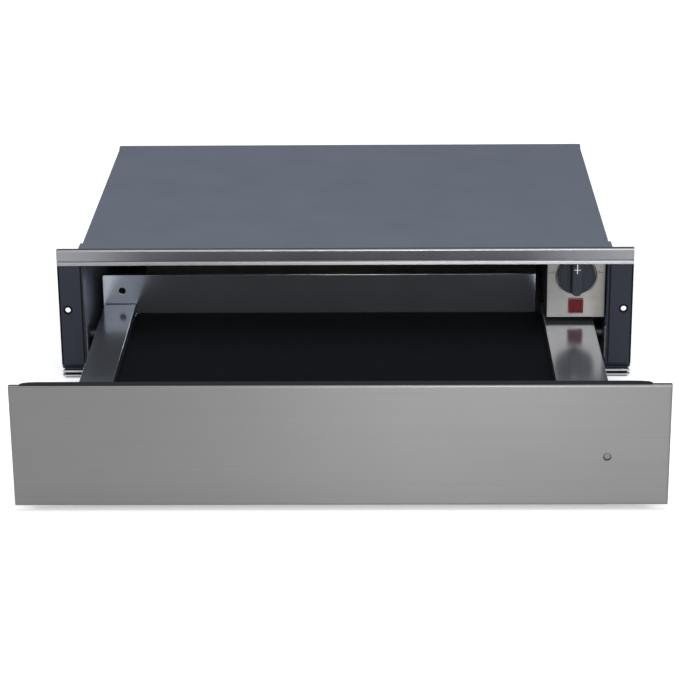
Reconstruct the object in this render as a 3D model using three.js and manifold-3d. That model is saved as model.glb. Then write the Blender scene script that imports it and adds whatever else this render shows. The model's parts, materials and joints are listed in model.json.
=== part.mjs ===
// A built-in warming drawer, 14 cm high, drawn out to its stop.
//
// Millimetres, +X to the right, +Y to the back of the niche, +Z up. The origin is the middle of
// the housing's underside. Inside the housing group, y = 0 is the front face of the posts, and
// every piece of the drawer is drawn where it lies when the drawer is shut: the drawer's own
// group then carries it forward by the travel.
//
// Three groups of pieces:
//   the housing, a folded steel case with front posts and a trim bar, which also holds the
//     control box with its thermostat, lamp, fan heater and terminals;
//   the drawer, a shallow pan between two flat ledges, with a back plate and a front panel;
//   the runners, telescopic on balls: outer members on the housing, inner ones on the drawer,
//     and middle members and ball cages that travel a share of the drawer's way.

import * as THREE from "three";
import { mergeVertices } from "three/addons/utils/BufferGeometryUtils.js";
import Module from "manifold-3d";

const wasm = await Module();
wasm.setup();

// ---------------------------------------------------------------- driving dimensions

const HOUSING_WIDTH = 546; // the case
const POST_WIDTH = 24.5; // how far the posts, trim bar and front panel reach past each side of it
const HOUSING_HEIGHT = 140;
const HOUSING_DEPTH = 402; // front of the posts to the back of the case
const DRAWER_TRAVEL = 320; // shut to fully drawn out
const SHEET = 1; // steel sheet of the housing and the drawer
const FIT = 0.3; // between pieces that seat on each other

// front of the housing
const TRIM_HEIGHT = 16.5;
const TRIM_DEPTH = 7; // of its folded top
const TRIM_SHEET = 1.6;
const TRIM_LIP = 1; // how far the trim's lower lip stands forward
const TRIM_LIP_HEIGHT = 3.6;
const POST_SHEET = 1.2;
const POST_INSET = 2; // the posts' overlap in front of the case's side walls
const POST_EDGE = 8; // depth of the posts' outer folded edge
const POST_RETURN = 20; // depth of the flange along the case's side
const POST_FOLD = 7; // height of the sloped fold at the foot
const FIXING_HOLE = 6.4;
const FIXING_INSET = 9.2; // from the front's outer edge to the hole
const FIXING_HEIGHT = 75;
const RAIL_HEIGHT = 6.8; // bottom rail, a channel open to the front
const RAIL_FRONT = -0.6;
const RAIL_DEPTH = 8;
const RAIL_LIP = 1.9;
const RAIL_SEAT = 0.1; // over the bottom plate

// case
const CASE_FLANGE = 8; // folded edges of the side and rear walls
const COVER_TAB = 2.6; // how far the cover's tabs stand past the side walls
const COVER_TAB_DEPTH = 18;
const COVER_SKIRT = 11; // the cover's rear edge, folded down over the rear wall
const VENT = { columns: 6, rows: 3, width: 22, height: 3.5, pitchX: 30, pitchZ: 9 };
const VENT_PLACE = [-110, 40]; // across from the middle, and below the top
const INSULATION_THICKNESS = 8;
const INSULATION_DEPTH = 338;
const INSULATION_INSET = 5; // from the drawer's skirts

// drawer
const LEDGE_DROP = 84; // top of the flat ledges, below the top of the housing
const LEDGE_LEFT = 33.3; // width of the ledge
const LEDGE_RIGHT = 50.9;
const RECESS = 13; // depth of the pan below the ledges, with its sheet
const SKIRT_CLEARANCE = 6.1; // the side rails' outer walls, over the bottom rail
const MAT_THICKNESS = 1.8;
const BACK_HEIGHT = 32.6; // back plate above the ledges
const BACK_FLANGE = 5;
const BACK_OVERHANG = 1.2; // past the left ledge
const BACK_HOLE = 7.5;
const BACK_HOLE_PLACE = [20.3, 17.6]; // in from the plate's left edge, down from its top
const BACK_CORNER = 1; // cut off the plate's upper left corner
const BACK_FLANGE_START = 8.5; // in from the plate's left edge
const REAR_CLEARANCE = 3; // behind the shut drawer

// drawer front
const PANEL_GAP = 1.5; // below the trim bar
const PANEL_FOOT = 5; // its bottom edge, above the underside of the housing
const PANEL_DEPTH = 14; // with its liner
const PANEL_RETURN = 5; // folded edge, all round
const PANEL_STANDOFF = 2; // from the shut panel to the posts
const LINER_WALL = 1.5;
const LINER_INSET = 13; // each end of the liner, in from the panel's end
const LINER_ROUND = 6;
const BRACKET = [24, 40]; // across the front and along the side rail
const BUFFER_RADIUS = 5;
const BUFFER_INSET = 24.5; // from the panel's bottom and top
const LENS_RADIUS = 3.8;
const LENS_INSET = [56.5, 47.4]; // from the panel's right end and from its bottom

// telescopic runners, seen along y: u goes from the housing's wall to the drawer's
const RUNNER_SPACER = 11.6; // length of the sleeves that hold the runners off the side walls
const SPACER_RADIUS = 6.5;
const RUNNER_WIDTH = 12.7;
const RUNNER_HEIGHT = 35;
const RUNNER_DROP = 3.4; // below the ledges
const RUNNER_SHEET = 1.2;
const RUNNER_FRONT = 8; // the outer member's front end, behind the bottom rail
const RUNNER_STEP = 4.6; // from one member's lip to the next one's
const BALL = 3; // diameter
const BALL_COUNT = 4; // in each row
const BALL_PITCH = 46;
const CAGE_SHEET = 0.5;
const SCREW_HEAD = [4, 2.2]; // radius and height
const SCREW_SHANK = 2;
const SCREW_INSET = 32; // from the outer member's ends

// control box, hung under the cover at the right
const CONTROL_WIDTH = 60;
const CONTROL_INSET = 2.2; // from the case's right wall
const CONTROL_CLEARANCE = 4.7; // over the drawer's ledge
const CONTROL_SETBACK = 14; // the plate's face behind the posts
const KNOB_RADIUS = 19.8;
const KNOB_GAP = 5.2; // between the knob's grip and the lamp
const KNOB_SKIRT = 4;
const KNOB_GRIP = 12.4; // width; it stands off the skirt as far as the trim bar lets it turn
const KNOB_GRIP_OVER = 0.6; // past the skirt's rim
const SPINDLE_RADIUS = 3;
const LAMP_SIZE = 15.8;
const LAMP_INSET = 12.8; // the lamp's centre, up from the plate's bottom edge
const LAMP_FACE = 2.2;
const LAMP_STEM = 12.6;
const LAMP_BODY_DEPTH = 20;
const THERMOSTAT = [15.5, 27]; // radius and depth
const BULB = [2.6, 70]; // radius and length
const CAPILLARY = { radius: 1, offset: 10, drop: 4, run: 8, bend: 4 };
const BAFFLE_PLACE = 100;

// fan heater in the control box
const OUTLET = { count: 6, width: 5, height: 46, pitch: 11, space: 15 }; // behind the baffle
const HEATER_RADIUS = 3.2;
const HEATER_SPACE = 23; // behind the baffle
const HEATER_RUN = 78;
const HEATER_RUNS = 4;
const HEATER_MARGIN = 8.5; // above and below, in the box
const BRACKET_SEAT = 2; // behind the element's straight runs
const DUCT_SPACE = 15; // from the element's bracket to the duct's mouth
const FAN_SHAFT = 2;
const FAN_GAP = 3.5; // between the wheel and the scroll's tightest wall
const SCROLL_GROWTH = 8; // from its tightest radius to its widest
const SCROLL_MARGIN = 3; // above and below, in the box
const SCROLL_WIDTH = 27;
const SCROLL_WALL = 1.2;
const SCROLL_DUCT = 40; // from the shaft to the duct's mouth
const INLET_RADIUS = 19;
const MOTOR = [17, 19]; // radius and length
const MOTOR_EAR = [7, 12]; // how far its two ears reach, and half their height
const BLADES = 16;
const TERMINAL = { space: 21, depth: 34, width: 36, height: 22, wells: 3 };
const GLAND = { drop: 40, radius: 9, body: 12, collar: 13, bore: 4.5 };

// push latch under the drawer
const LATCH = { width: 40, over: 2.7, under: 7, depth: 26 }; // clear of the insulation and the pan
const PLUNGER_RADIUS = 3.5;
const PLUNGER_STROKE = 8;
const PLUNGER_REACH = 12;

// ---------------------------------------------------------------- places worked out from them

const top = HOUSING_HEIGHT;
const sideOut = HOUSING_WIDTH / 2;
const frontHalf = sideOut + POST_WIDTH;
const sideIn = sideOut - SHEET;
const rearOut = HOUSING_DEPTH - SHEET; // the rear wall, inside the cover's skirt
const rearIn = rearOut - SHEET;
const trimBottom = top - TRIM_HEIGHT;
const postFront = 0;
const railBack = RAIL_FRONT + RAIL_DEPTH;
const wallFront = railBack + FIT; // the side walls, behind the rail and the posts' sloped feet

const runnerIn = sideIn - FIT - RUNNER_SPACER; // the outer members' webs
const railBottom = SHEET + RAIL_SEAT;
const railTop = railBottom + RAIL_HEIGHT;
const skirtSide = runnerIn - RUNNER_WIDTH - FIT; // outer faces of the side rails' skirts
const drawerSide = skirtSide + RUNNER_SPACER; // outer edges of the ledges, over the runners
const panelTop = trimBottom - PANEL_GAP;
const panelBottom = PANEL_FOOT;
const panelBack = -PANEL_STANDOFF;
const panelFace = panelBack - PANEL_DEPTH;
const lensPlace = [frontHalf - LENS_INSET[0], panelBottom + LENS_INSET[1]];
const panFront = panelBack + FIT;
const backFlangeEnd = rearIn - REAR_CLEARANCE;
const backFace = backFlangeEnd - BACK_FLANGE;
const ledgeEnd = backFace - FIT;
const ledgeTop = top - LEDGE_DROP;
const runnerCentre = ledgeTop - RUNNER_DROP - RUNNER_HEIGHT / 2;
const skirtBottom = railTop + SKIRT_CLEARANCE;
const panTop = ledgeTop - RECESS + SHEET;
const matLeft = -drawerSide + LEDGE_LEFT + FIT;
const matRight = drawerSide - LEDGE_RIGHT - FIT;

const controlRight = sideIn - CONTROL_INSET;
const controlLeft = controlRight - CONTROL_WIDTH;
const controlMiddle = (controlLeft + controlRight) / 2;
const controlBottom = ledgeTop + CONTROL_CLEARANCE;
const lampHeight = controlBottom + LAMP_INSET;
const knobHeight = lampHeight + LAMP_SIZE / 2 + KNOB_GAP + KNOB_RADIUS + KNOB_GRIP_OVER;
const controlTop = top - SHEET - FIT;
const plateTop = controlTop - SHEET - FIT; // under the side wall's flange
const boxFront = CONTROL_SETBACK + SHEET + FIT;
const boxFloor = controlBottom + SHEET;
const heaterLow = boxFloor + HEATER_MARGIN + HEATER_RADIUS;
const heaterHigh = plateTop - HEATER_MARGIN - HEATER_RADIUS;
const heaterPitch = (heaterHigh - heaterLow) / (HEATER_RUNS - 1);

// The scroll fills the box's height: its top is at its widest radius, its bottom half way.
const scrollHeight = plateTop - boxFloor - 2 * SCROLL_MARGIN;
const scrollTight = (scrollHeight - 1.5 * SCROLL_GROWTH) / 2 - SCROLL_WALL;
const scrollWide = scrollTight + SCROLL_GROWTH;
const fanRadius = scrollTight - FAN_GAP;
const fanZ = plateTop - SCROLL_MARGIN - SCROLL_WALL - scrollWide;
const heaterFront = BAFFLE_PLACE + SHEET + HEATER_SPACE;
const heaterRear = heaterFront + HEATER_RUN;
const fanY = heaterRear + BRACKET_SEAT + SHEET + DUCT_SPACE + SCROLL_DUCT;
const fanPlace = [fanY, fanZ];

// ---------------------------------------------------------------- materials

const finish = (color, roughness, metalness) =>
  new THREE.MeshStandardMaterial({ color, roughness, metalness });
const coatedSteel = () => finish(0x6a7079, 0.45, 0.6);
const darkPaint = () => finish(0x33363d, 0.4, 0.3);
const brushedSteel = () => finish(0xa6a5a6, 0.32, 1);
const polishedSteel = () => finish(0xb8b8ba, 0.12, 1);
const zincSteel = () => finish(0xaeb2b6, 0.35, 0.9);
const blackRubber = () => finish(0x1b1c1f, 0.85, 0);
const darkPlastic = () => finish(0x2c2e33, 0.5, 0);

// ---------------------------------------------------------------- shape helpers

const DIRECTIONS = {
  x: new THREE.Vector3(1, 0, 0),
  y: new THREE.Vector3(0, 1, 0),
  z: new THREE.Vector3(0, 0, 1),
};

// For each axis of extrusion: the axes that the outline's two coordinates lie along, and which
// way the extrusion then runs so that the three stay right-handed.
const OUTLINE_PLANES = {
  x: { first: "y", second: "z", sense: 1 },
  y: { first: "x", second: "z", sense: -1 },
  z: { first: "x", second: "y", sense: 1 },
};

// A straight bar with the outline `points`, between two places on one axis.
function bar(points, axis, from, to) {
  const shape = Array.isArray(points) ? new THREE.Shape(points.map((p) => new THREE.Vector2(...p))) : points;
  const geometry = new THREE.ExtrudeGeometry(shape, {
    depth: to - from,
    bevelEnabled: false,
    curveSegments: 10,
  });
  const { first, second, sense } = OUTLINE_PLANES[axis];
  const basis = new THREE.Matrix4().makeBasis(
    DIRECTIONS[first],
    DIRECTIONS[second],
    DIRECTIONS[axis].clone().multiplyScalar(sense),
  );
  geometry.applyMatrix4(basis);
  // Both ends are set to the exact values, so that faces meant to be flush are flush.
  const { position } = geometry.attributes;
  const [component, middle] = ["xyz".indexOf(axis), ((to - from) / 2) * sense];
  for (let i = 0; i < position.count; i++) {
    const far = position.getComponent(i, component) * sense > middle * sense;
    position.setComponent(i, component, far === sense > 0 ? to : from);
  }
  return geometry;
}

const rectangle = ([a0, a1], [b0, b1]) => [
  [a0, b0],
  [a1, b0],
  [a1, b1],
  [a0, b1],
];

// A box between two places on each axis.
const block = (x, y, z) => bar(rectangle(x, y), "z", ...z);

// A round bar along `axis`; `centre` gives its two other coordinates, in x, y, z order.
function round(centre, axis, from, to, radius, sides = 20) {
  const shape = new THREE.Shape(
    Array.from({ length: sides }, (_, i) => {
      const turn = ((i + 0.5) / sides) * 2 * Math.PI;
      return new THREE.Vector2(
        centre[0] + radius * Math.cos(turn),
        centre[1] + radius * Math.sin(turn),
      );
    }),
  );
  return bar(shape, axis, from, to);
}

// A smooth rod of one radius along a curve.
function rod(curve, radius, steps, sides = 8) {
  const section = new THREE.Shape(
    Array.from({ length: sides }, (_, i) => {
      const turn = (i / sides) * 2 * Math.PI;
      return new THREE.Vector2(radius * Math.cos(turn), radius * Math.sin(turn));
    }),
  );
  return new THREE.ExtrudeGeometry(section, { steps, extrudePath: curve });
}

function solid(geometry) {
  const bare = geometry.index ? geometry.toNonIndexed() : geometry.clone();
  bare.deleteAttribute("normal");
  bare.deleteAttribute("uv");
  const merged = mergeVertices(bare, 1e-4);
  return new wasm.Manifold(
    new wasm.Mesh({
      numProp: 3,
      vertProperties: merged.attributes.position.array,
      triVerts: new Uint32Array(merged.index.array),
    }),
  );
}

// A boolean of flush faces can leave slivers a few hundredths wide, which are closed up here.
const SLIVER = 0.02;

function surface(body) {
  const { numProp, numVert, vertProperties, triVerts } = body
    .asOriginal()
    .simplify(SLIVER)
    .getMesh();
  const position = new Float32Array(numVert * 3);
  for (let i = 0; i < numVert; i++)
    position.set(vertProperties.subarray(i * numProp, i * numProp + 3), i * 3);
  const geometry = new THREE.BufferGeometry()
    .setAttribute("position", new THREE.BufferAttribute(position, 3))
    .setIndex(new THREE.BufferAttribute(new Uint32Array(triVerts), 1));
  geometry.computeVertexNormals();
  return geometry;
}

const join = (...parts) => surface(parts.map(solid).reduce((all, part) => all.add(part)));
const cut = (part, ...holes) =>
  surface(holes.map(solid).reduce((rest, hole) => rest.subtract(hole), solid(part)));

// The same outline on the object's other side.
const mirrored = (points) => points.map(([x, other]) => [-x, other]).reverse();

function add(group, name, geometry, material) {
  const mesh = new THREE.Mesh(geometry, material);
  mesh.name = name;
  group.add(mesh);
  return mesh;
}

const SIDES = [
  { side: "left", s: -1 },
  { side: "right", s: 1 },
];

// ---------------------------------------------------------------- housing

const object = new THREE.Group();
const housing = new THREE.Group();
housing.position.y = -HOUSING_DEPTH / 2;
object.add(housing);

// The cover is one sheet with tabs at the front, a wider band at the rear and a skirt behind.
function topCover() {
  const front = TRIM_DEPTH;
  const tabEnd = front + COVER_TAB_DEPTH;
  const bandStart = rearOut - CASE_FLANGE;
  const tab = sideOut + COVER_TAB;
  const band = sideOut + SHEET;
  const right = [
    [tab, front],
    [tab, tabEnd],
    [sideOut, tabEnd],
    [sideOut, bandStart],
    [band, bandStart],
    [band, HOUSING_DEPTH],
  ];
  const outline = [...right, ...mirrored(right)];
  const sheet = bar(outline, "z", top - SHEET, top);
  const skirt = block([-band, band], [rearOut, HOUSING_DEPTH], [top - COVER_SKIRT, top]);
  return join(sheet, skirt);
}

function sideWall(s) {
  const web = [-sideOut, -sideIn].map((x) => -x * s).sort((a, b) => a - b);
  const flangeEdge = s * (sideIn - CASE_FLANGE);
  const flange = [s * sideIn, flangeEdge].sort((a, b) => a - b);
  const reach = [Math.min(web[0], flange[0]), Math.max(web[1], flange[1])];
  const y = [wallFront, rearIn - FIT];
  const wallTop = top - SHEET - FIT;
  const wall = join(
    block(web, y, [0, wallTop]),
    block(reach, y, [wallTop - SHEET, wallTop]),
    block(reach, y, [SHEET + FIT, 2 * SHEET + FIT]),
  );
  return cut(wall, ...runnerScrewPlaces().map((place) => screwHole(s, place)));
}

const runnerScrewPlaces = () => [
  RUNNER_FRONT + SCREW_INSET,
  runnerEnd - SCREW_INSET,
];
const runnerEnd = rearIn - FIT - RUNNER_FRONT;

function screwHole(s, y) {
  const reach = [s * (sideOut + SHEET), s * (runnerIn - 2 * RUNNER_SHEET)].sort((a, b) => a - b);
  return round([y, runnerCentre], "x", ...reach, SCREW_SHANK + FIT, 12);
}

function rearWall() {
  const wall = sideOut + SHEET;
  const low = 0;
  const high = top - SHEET - FIT;
  const flange = [rearOut - CASE_FLANGE, rearOut];
  const sheet = join(
    block([-wall, wall], [rearIn, rearOut - FIT], [low, high]),
    block([-wall, -sideOut - FIT], [flange[0], rearOut - FIT], [low, high]),
    block([sideOut + FIT, wall], [flange[0], rearOut - FIT], [low, high]),
  );
  const slots = [];
  for (let column = 0; column < VENT.columns; column++)
    for (let row = 0; row < VENT.rows; row++) {
      const x = VENT_PLACE[0] + (column - (VENT.columns - 1) / 2) * VENT.pitchX;
      const z = top - VENT_PLACE[1] + (row - (VENT.rows - 1) / 2) * VENT.pitchZ;
      slots.push(
        block(
          [x - VENT.width / 2, x + VENT.width / 2],
          [rearIn - 1, rearOut + 1],
          [z - VENT.height / 2, z + VENT.height / 2],
        ),
      );
    }
  const inlet = round([controlMiddle, top - GLAND.drop], "y", rearIn - 1, rearOut + 1, GLAND.radius + FIT);
  return cut(sheet, ...slots, inlet);
}

// One bent bar: a short top flange, the face, a crease, and a lip that stands forward.
function frontTrim() {
  const crease = trimBottom + TRIM_LIP_HEIGHT;
  const outline = [
    [postFront, top],
    [postFront, crease + 1.2],
    [0.8, crease + 0.5],
    [-TRIM_LIP, crease],
    [-TRIM_LIP, trimBottom],
    [TRIM_SHEET, trimBottom],
    [TRIM_SHEET, top - SHEET],
    [TRIM_DEPTH - FIT, top - SHEET],
    [TRIM_DEPTH - FIT, top],
  ];
  return bar(outline, "x", -frontHalf, frontHalf);
}

// A flat post with a folded outer edge, a hem, a flange along the case and a sloped foot.
function post(s) {
  const inner = sideIn - POST_INSET + SHEET;
  const hemOut = sideOut + FIT;
  const right = [
    [frontHalf, postFront],
    [frontHalf, POST_EDGE],
    [frontHalf - POST_SHEET, POST_EDGE],
    [frontHalf - POST_SHEET, POST_SHEET],
    [hemOut + POST_SHEET, POST_SHEET],
    [hemOut + POST_SHEET, POST_SHEET + POST_RETURN],
    [hemOut, POST_SHEET + POST_RETURN],
    [hemOut, 2 * POST_SHEET],
    [inner, 2 * POST_SHEET],
    [inner, postFront],
  ];
  const foot = railTop + FIT;
  const fold = foot + POST_FOLD;
  const upright = bar(s > 0 ? right : mirrored(right), "z", fold, trimBottom - FIT);
  const lip = bar(
    [
      [postFront, fold],
      [POST_FOLD * 0.8, foot],
      [POST_FOLD * 0.8 + POST_SHEET, foot],
      [POST_SHEET, fold],
    ],
    "x",
    ...[s * inner, s * frontHalf].sort((a, b) => a - b),
  );
  const holeX = s * (frontHalf - FIXING_INSET);
  const hole = round([holeX, FIXING_HEIGHT], "y", -1, POST_SHEET + 1, FIXING_HOLE / 2, 18);
  return cut(join(upright, lip), hole);
}

// A channel that is open to the front and rounded at both ends.
function bottomRail() {
  const channel = bar(
    [
      [RAIL_FRONT, railBottom],
      [railBack, railBottom],
      [railBack, railTop],
      [RAIL_FRONT, railTop],
      [RAIL_FRONT, railTop - RAIL_LIP],
      [railBack - RAIL_LIP, railTop - RAIL_LIP],
      [railBack - RAIL_LIP, railBottom + RAIL_LIP],
      [RAIL_FRONT, railBottom + RAIL_LIP],
    ],
    "x",
    -frontHalf,
    frontHalf,
  );
  const radius = RAIL_HEIGHT / 2;
  const ends = new THREE.Shape()
    .absarc(frontHalf - radius, railBottom + radius, radius, -Math.PI / 2, Math.PI / 2)
    .absarc(radius - frontHalf, railBottom + radius, radius, Math.PI / 2, (3 * Math.PI) / 2);
  return surface(solid(channel).intersect(solid(bar(ends, "y", RAIL_FRONT - 1, railBack + 1))));
}

function bottomPlate() {
  const half = sideIn - FIT;
  return block([-half, half], [0, rearIn - FIT], [0, SHEET]);
}

add(housing, "top_cover", topCover(), coatedSteel());
for (const { side, s } of SIDES) {
  add(housing, `side_wall_${side}`, sideWall(s), coatedSteel());
  add(housing, `post_${side}`, post(s), darkPaint());
}
add(housing, "rear_wall", rearWall(), coatedSteel());
add(housing, "bottom_plate", bottomPlate(), coatedSteel());
add(housing, "front_trim", frontTrim(), brushedSteel());
add(housing, "bottom_rail", bottomRail(), zincSteel());

const insulationHalf = skirtSide - SHEET - INSULATION_INSET;
add(
  housing,
  "base_insulation",
  block(
    [-insulationHalf, insulationHalf],
    [RAIL_DEPTH + 4, RAIL_DEPTH + 4 + INSULATION_DEPTH],
    [SHEET + FIT, SHEET + FIT + INSULATION_THICKNESS],
  ),
  finish(0xc9c6b8, 0.8, 0),
);

// ---------------------------------------------------------------- runners

// Seen from the front on the right side, u = 0 is the outer member's web; x falls as u grows.
const runnerX = (s, u) => s * (runnerIn - u);

function channelSection(s, web, lips, halfHeight) {
  const lipStart = Math.min(web, lips);
  const lipEnd = Math.max(web, lips);
  const webIn = web < lips ? web + RUNNER_SHEET : web - RUNNER_SHEET;
  const [a, b] = web < lips ? [lipStart, webIn] : [webIn, lipEnd];
  const outline =
    web < lips
      ? [
          [a, -halfHeight],
          [lipEnd, -halfHeight],
          [lipEnd, RUNNER_SHEET - halfHeight],
          [b, RUNNER_SHEET - halfHeight],
          [b, halfHeight - RUNNER_SHEET],
          [lipEnd, halfHeight - RUNNER_SHEET],
          [lipEnd, halfHeight],
          [a, halfHeight],
        ]
      : [
          [lipStart, -halfHeight],
          [b, -halfHeight],
          [b, halfHeight],
          [lipStart, halfHeight],
          [lipStart, halfHeight - RUNNER_SHEET],
          [a, halfHeight - RUNNER_SHEET],
          [a, RUNNER_SHEET - halfHeight],
          [lipStart, RUNNER_SHEET - halfHeight],
        ];
  return outline.map(([u, v]) => [runnerX(s, u), runnerCentre + v]);
}

const half = RUNNER_HEIGHT / 2;
const runnerSpan = [RUNNER_FRONT, runnerEnd];
const middleWeb = RUNNER_SHEET + 2 * FIT + CAGE_SHEET;
const lipDepth = RUNNER_WIDTH - RUNNER_SHEET - FIT;

// The outer member stands off the side wall on a sleeve at each screw.
function outerMember(s) {
  const reach = [s * (runnerIn - RUNNER_SHEET / 2), s * (sideIn - FIT)].sort((a, b) => a - b);
  const sleeve = (y) => round([y, runnerCentre], "x", ...reach, SPACER_RADIUS, 16);
  return cut(
    join(bar(channelSection(s, 0, lipDepth, half), "y", ...runnerSpan), ...runnerScrewPlaces().map(sleeve)),
    ...runnerScrewPlaces().map((place) => screwHole(s, place)),
  );
}
const middleMember = (s) =>
  bar(channelSection(s, middleWeb, lipDepth, half - RUNNER_STEP), "y", ...runnerSpan);
const innerMember = (s) =>
  bar(
    channelSection(s, RUNNER_WIDTH, middleWeb + RUNNER_SHEET + 2 * FIT + CAGE_SHEET, half - 2 * RUNNER_STEP),
    "y",
    ...runnerSpan,
  );

// A cage is a channel of thin sheet whose lips carry a row of balls above and one below.
function ballCage(s, web, halfHeight) {
  const lips = halfHeight - RUNNER_SHEET - (RUNNER_STEP - RUNNER_SHEET) / 2;
  const ballU = web + CAGE_SHEET + RUNNER_WIDTH * 0.36;
  const lipEnd = ballU + BALL / 2;
  const middle = (runnerSpan[0] + runnerSpan[1]) / 2;
  const length = [
    middle - (BALL_PITCH * BALL_COUNT) / 2,
    middle + (BALL_PITCH * BALL_COUNT) / 2,
  ];
  const reach = (a, b) => [runnerX(s, a), runnerX(s, b)].sort((p, q) => p - q);
  const z = runnerCentre;
  const parts = [
    block(reach(web, web + CAGE_SHEET), length, [z - lips - CAGE_SHEET / 2, z + lips + CAGE_SHEET / 2]),
  ];
  for (const v of [-lips, lips]) {
    parts.push(block(reach(web, lipEnd), length, [z + v - CAGE_SHEET / 2, z + v + CAGE_SHEET / 2]));
    for (let i = 0; i < BALL_COUNT; i++) {
      const y = length[0] + (i + 0.5) * BALL_PITCH;
      const ball = new THREE.SphereGeometry(BALL / 2, 8, 5).translate(runnerX(s, ballU), y, z + v);
      parts.push(ball);
    }
  }
  return join(...parts);
}

const runnerStage = (share) => {
  const group = new THREE.Group();
  group.position.y = -DRAWER_TRAVEL * share;
  housing.add(group);
  return group;
};
const drawer = runnerStage(1);
const middleStage = runnerStage(1 / 2);
const outerCageStage = runnerStage(1 / 4);
const innerCageStage = runnerStage(3 / 4);

const screw = (s, y) => {
  const headIn = s * (sideOut + 0.1);
  const headOut = s * (sideOut + 0.1 + SCREW_HEAD[1]);
  const tip = s * (runnerIn - RUNNER_SHEET + 0.1);
  const place = [y, runnerCentre];
  return join(
    round(place, "x", ...[headIn, headOut].sort((a, b) => a - b), SCREW_HEAD[0], 16),
    round(place, "x", ...[tip, headOut].sort((a, b) => a - b), SCREW_SHANK, 10),
  );
};

for (const { side, s } of SIDES) {
  add(housing, `runner_outer_${side}`, outerMember(s), zincSteel());
  add(middleStage, `runner_middle_${side}`, middleMember(s), zincSteel());
  add(drawer, `runner_inner_${side}`, innerMember(s), zincSteel());
  add(outerCageStage, `ball_cage_outer_${side}`, ballCage(s, RUNNER_SHEET + FIT, half), zincSteel());
  add(
    innerCageStage,
    `ball_cage_inner_${side}`,
    ballCage(s, middleWeb + RUNNER_SHEET + FIT, half - RUNNER_STEP),
    zincSteel(),
  );
  runnerScrewPlaces().forEach((y, i) =>
    add(housing, `runner_screw_${side}_${["front", "rear"][i]}`, screw(s, y), zincSteel()),
  );
}

// ---------------------------------------------------------------- drawer

// A side rail: a flat ledge, the wall from its inner edge down to the pan, and under it the skirt
// that carries the runner, which the ledge's outer part covers.
function sideRail(s, width) {
  const outline = [
    [skirtSide, skirtBottom],
    [skirtSide, ledgeTop - SHEET],
    [drawerSide, ledgeTop - SHEET],
    [drawerSide, ledgeTop],
    [drawerSide - width, ledgeTop],
    [drawerSide - width, panTop + FIT],
    [drawerSide - width + SHEET, panTop + FIT],
    [drawerSide - width + SHEET, ledgeTop - SHEET],
    [skirtSide - SHEET, ledgeTop - SHEET],
    [skirtSide - SHEET, skirtBottom],
  ];
  return bar(s > 0 ? outline : mirrored(outline), "y", panFront, ledgeEnd);
}

const pan = () =>
  block([matLeft - FIT - SHEET, matRight + FIT + SHEET], [panFront, ledgeEnd], [panTop - SHEET, panTop]);

const mat = () =>
  block([matLeft, matRight], [panFront + FIT, ledgeEnd - FIT], [panTop + FIT, panTop + FIT + MAT_THICKNESS]);

// The back plate stands on the pan's edge and laps past the left ledge's end.
function backPlate() {
  const left = -drawerSide - BACK_OVERHANG;
  const right = controlLeft - 8;
  const high = ledgeTop + BACK_HEIGHT;
  const low = ledgeTop - 2;
  const outline = [
    [left, low],
    [matLeft, low],
    [matLeft, panTop + FIT],
    [right, panTop + FIT],
    [right, high],
    [left + BACK_CORNER, high],
    [left, high - BACK_CORNER],
  ];
  const plate = bar(outline, "y", backFace, backFace + SHEET);
  const flangeLeft = left + BACK_FLANGE_START;
  const flange = block([flangeLeft, right], [backFace, backFlangeEnd], [high - SHEET, high]);
  const endFlange = block([right - SHEET, right], [backFace, backFlangeEnd], [panTop + FIT, high]);
  const holePlace = [left + BACK_HOLE_PLACE[0], high - BACK_HOLE_PLACE[1]];
  const hole = round(holePlace, "y", backFace - 1, backFace + SHEET + 1, BACK_HOLE / 2, 18);
  return surface(solid(join(plate, flange, endFlange)).subtract(solid(hole)));
}

// The front panel is a sheet with folded edges; the lens looks through a hole in it.
function frontPanel() {
  const skin = [panelFace, panelFace + SHEET];
  const x = [-frontHalf, frontHalf];
  const folds = panelFace + PANEL_RETURN;
  return cut(
    join(
      block(x, skin, [panelBottom, panelTop]),
      block([-frontHalf, -frontHalf + SHEET], [panelFace, folds], [panelBottom, panelTop]),
      block([frontHalf - SHEET, frontHalf], [panelFace, folds], [panelBottom, panelTop]),
      block(x, [panelFace, folds], [panelTop - SHEET, panelTop]),
      block(x, [panelFace, folds], [panelBottom, panelBottom + SHEET]),
    ),
    round(lensPlace, "y", panelFace - 1, panelFace + SHEET + 1, LENS_RADIUS + FIT, 18),
  );
}

const linerHalf = frontHalf - LINER_INSET;
const linerTop = panelTop - SHEET - FIT;
const linerBottom = panelBottom + SHEET + FIT;
const linerFront = panelFace + SHEET + FIT;

function roundedPlate(halfWidth, low, high, radius) {
  const shape = new THREE.Shape();
  shape.moveTo(-halfWidth, low);
  shape.lineTo(halfWidth, low);
  shape.lineTo(halfWidth, high - radius);
  shape.absarc(halfWidth - radius, high - radius, radius, 0, Math.PI / 2);
  shape.absarc(radius - halfWidth, high - radius, radius, Math.PI / 2, Math.PI);
  return shape;
}

// The liner is a shallow moulded tray behind the panel, open towards it.
function frontLiner() {
  const outside = roundedPlate(linerHalf, linerBottom, linerTop, LINER_ROUND);
  const inside = roundedPlate(
    linerHalf - LINER_WALL,
    linerBottom + LINER_WALL,
    linerTop - LINER_WALL,
    LINER_ROUND - LINER_WALL,
  );
  return cut(
    bar(outside, "y", linerFront, panelBack),
    bar(inside, "y", linerFront - 1, panelBack - LINER_WALL),
    round(lensPlace, "y", linerFront, panelBack + 1, LENS_RADIUS + FIT, 18),
  );
}

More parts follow.
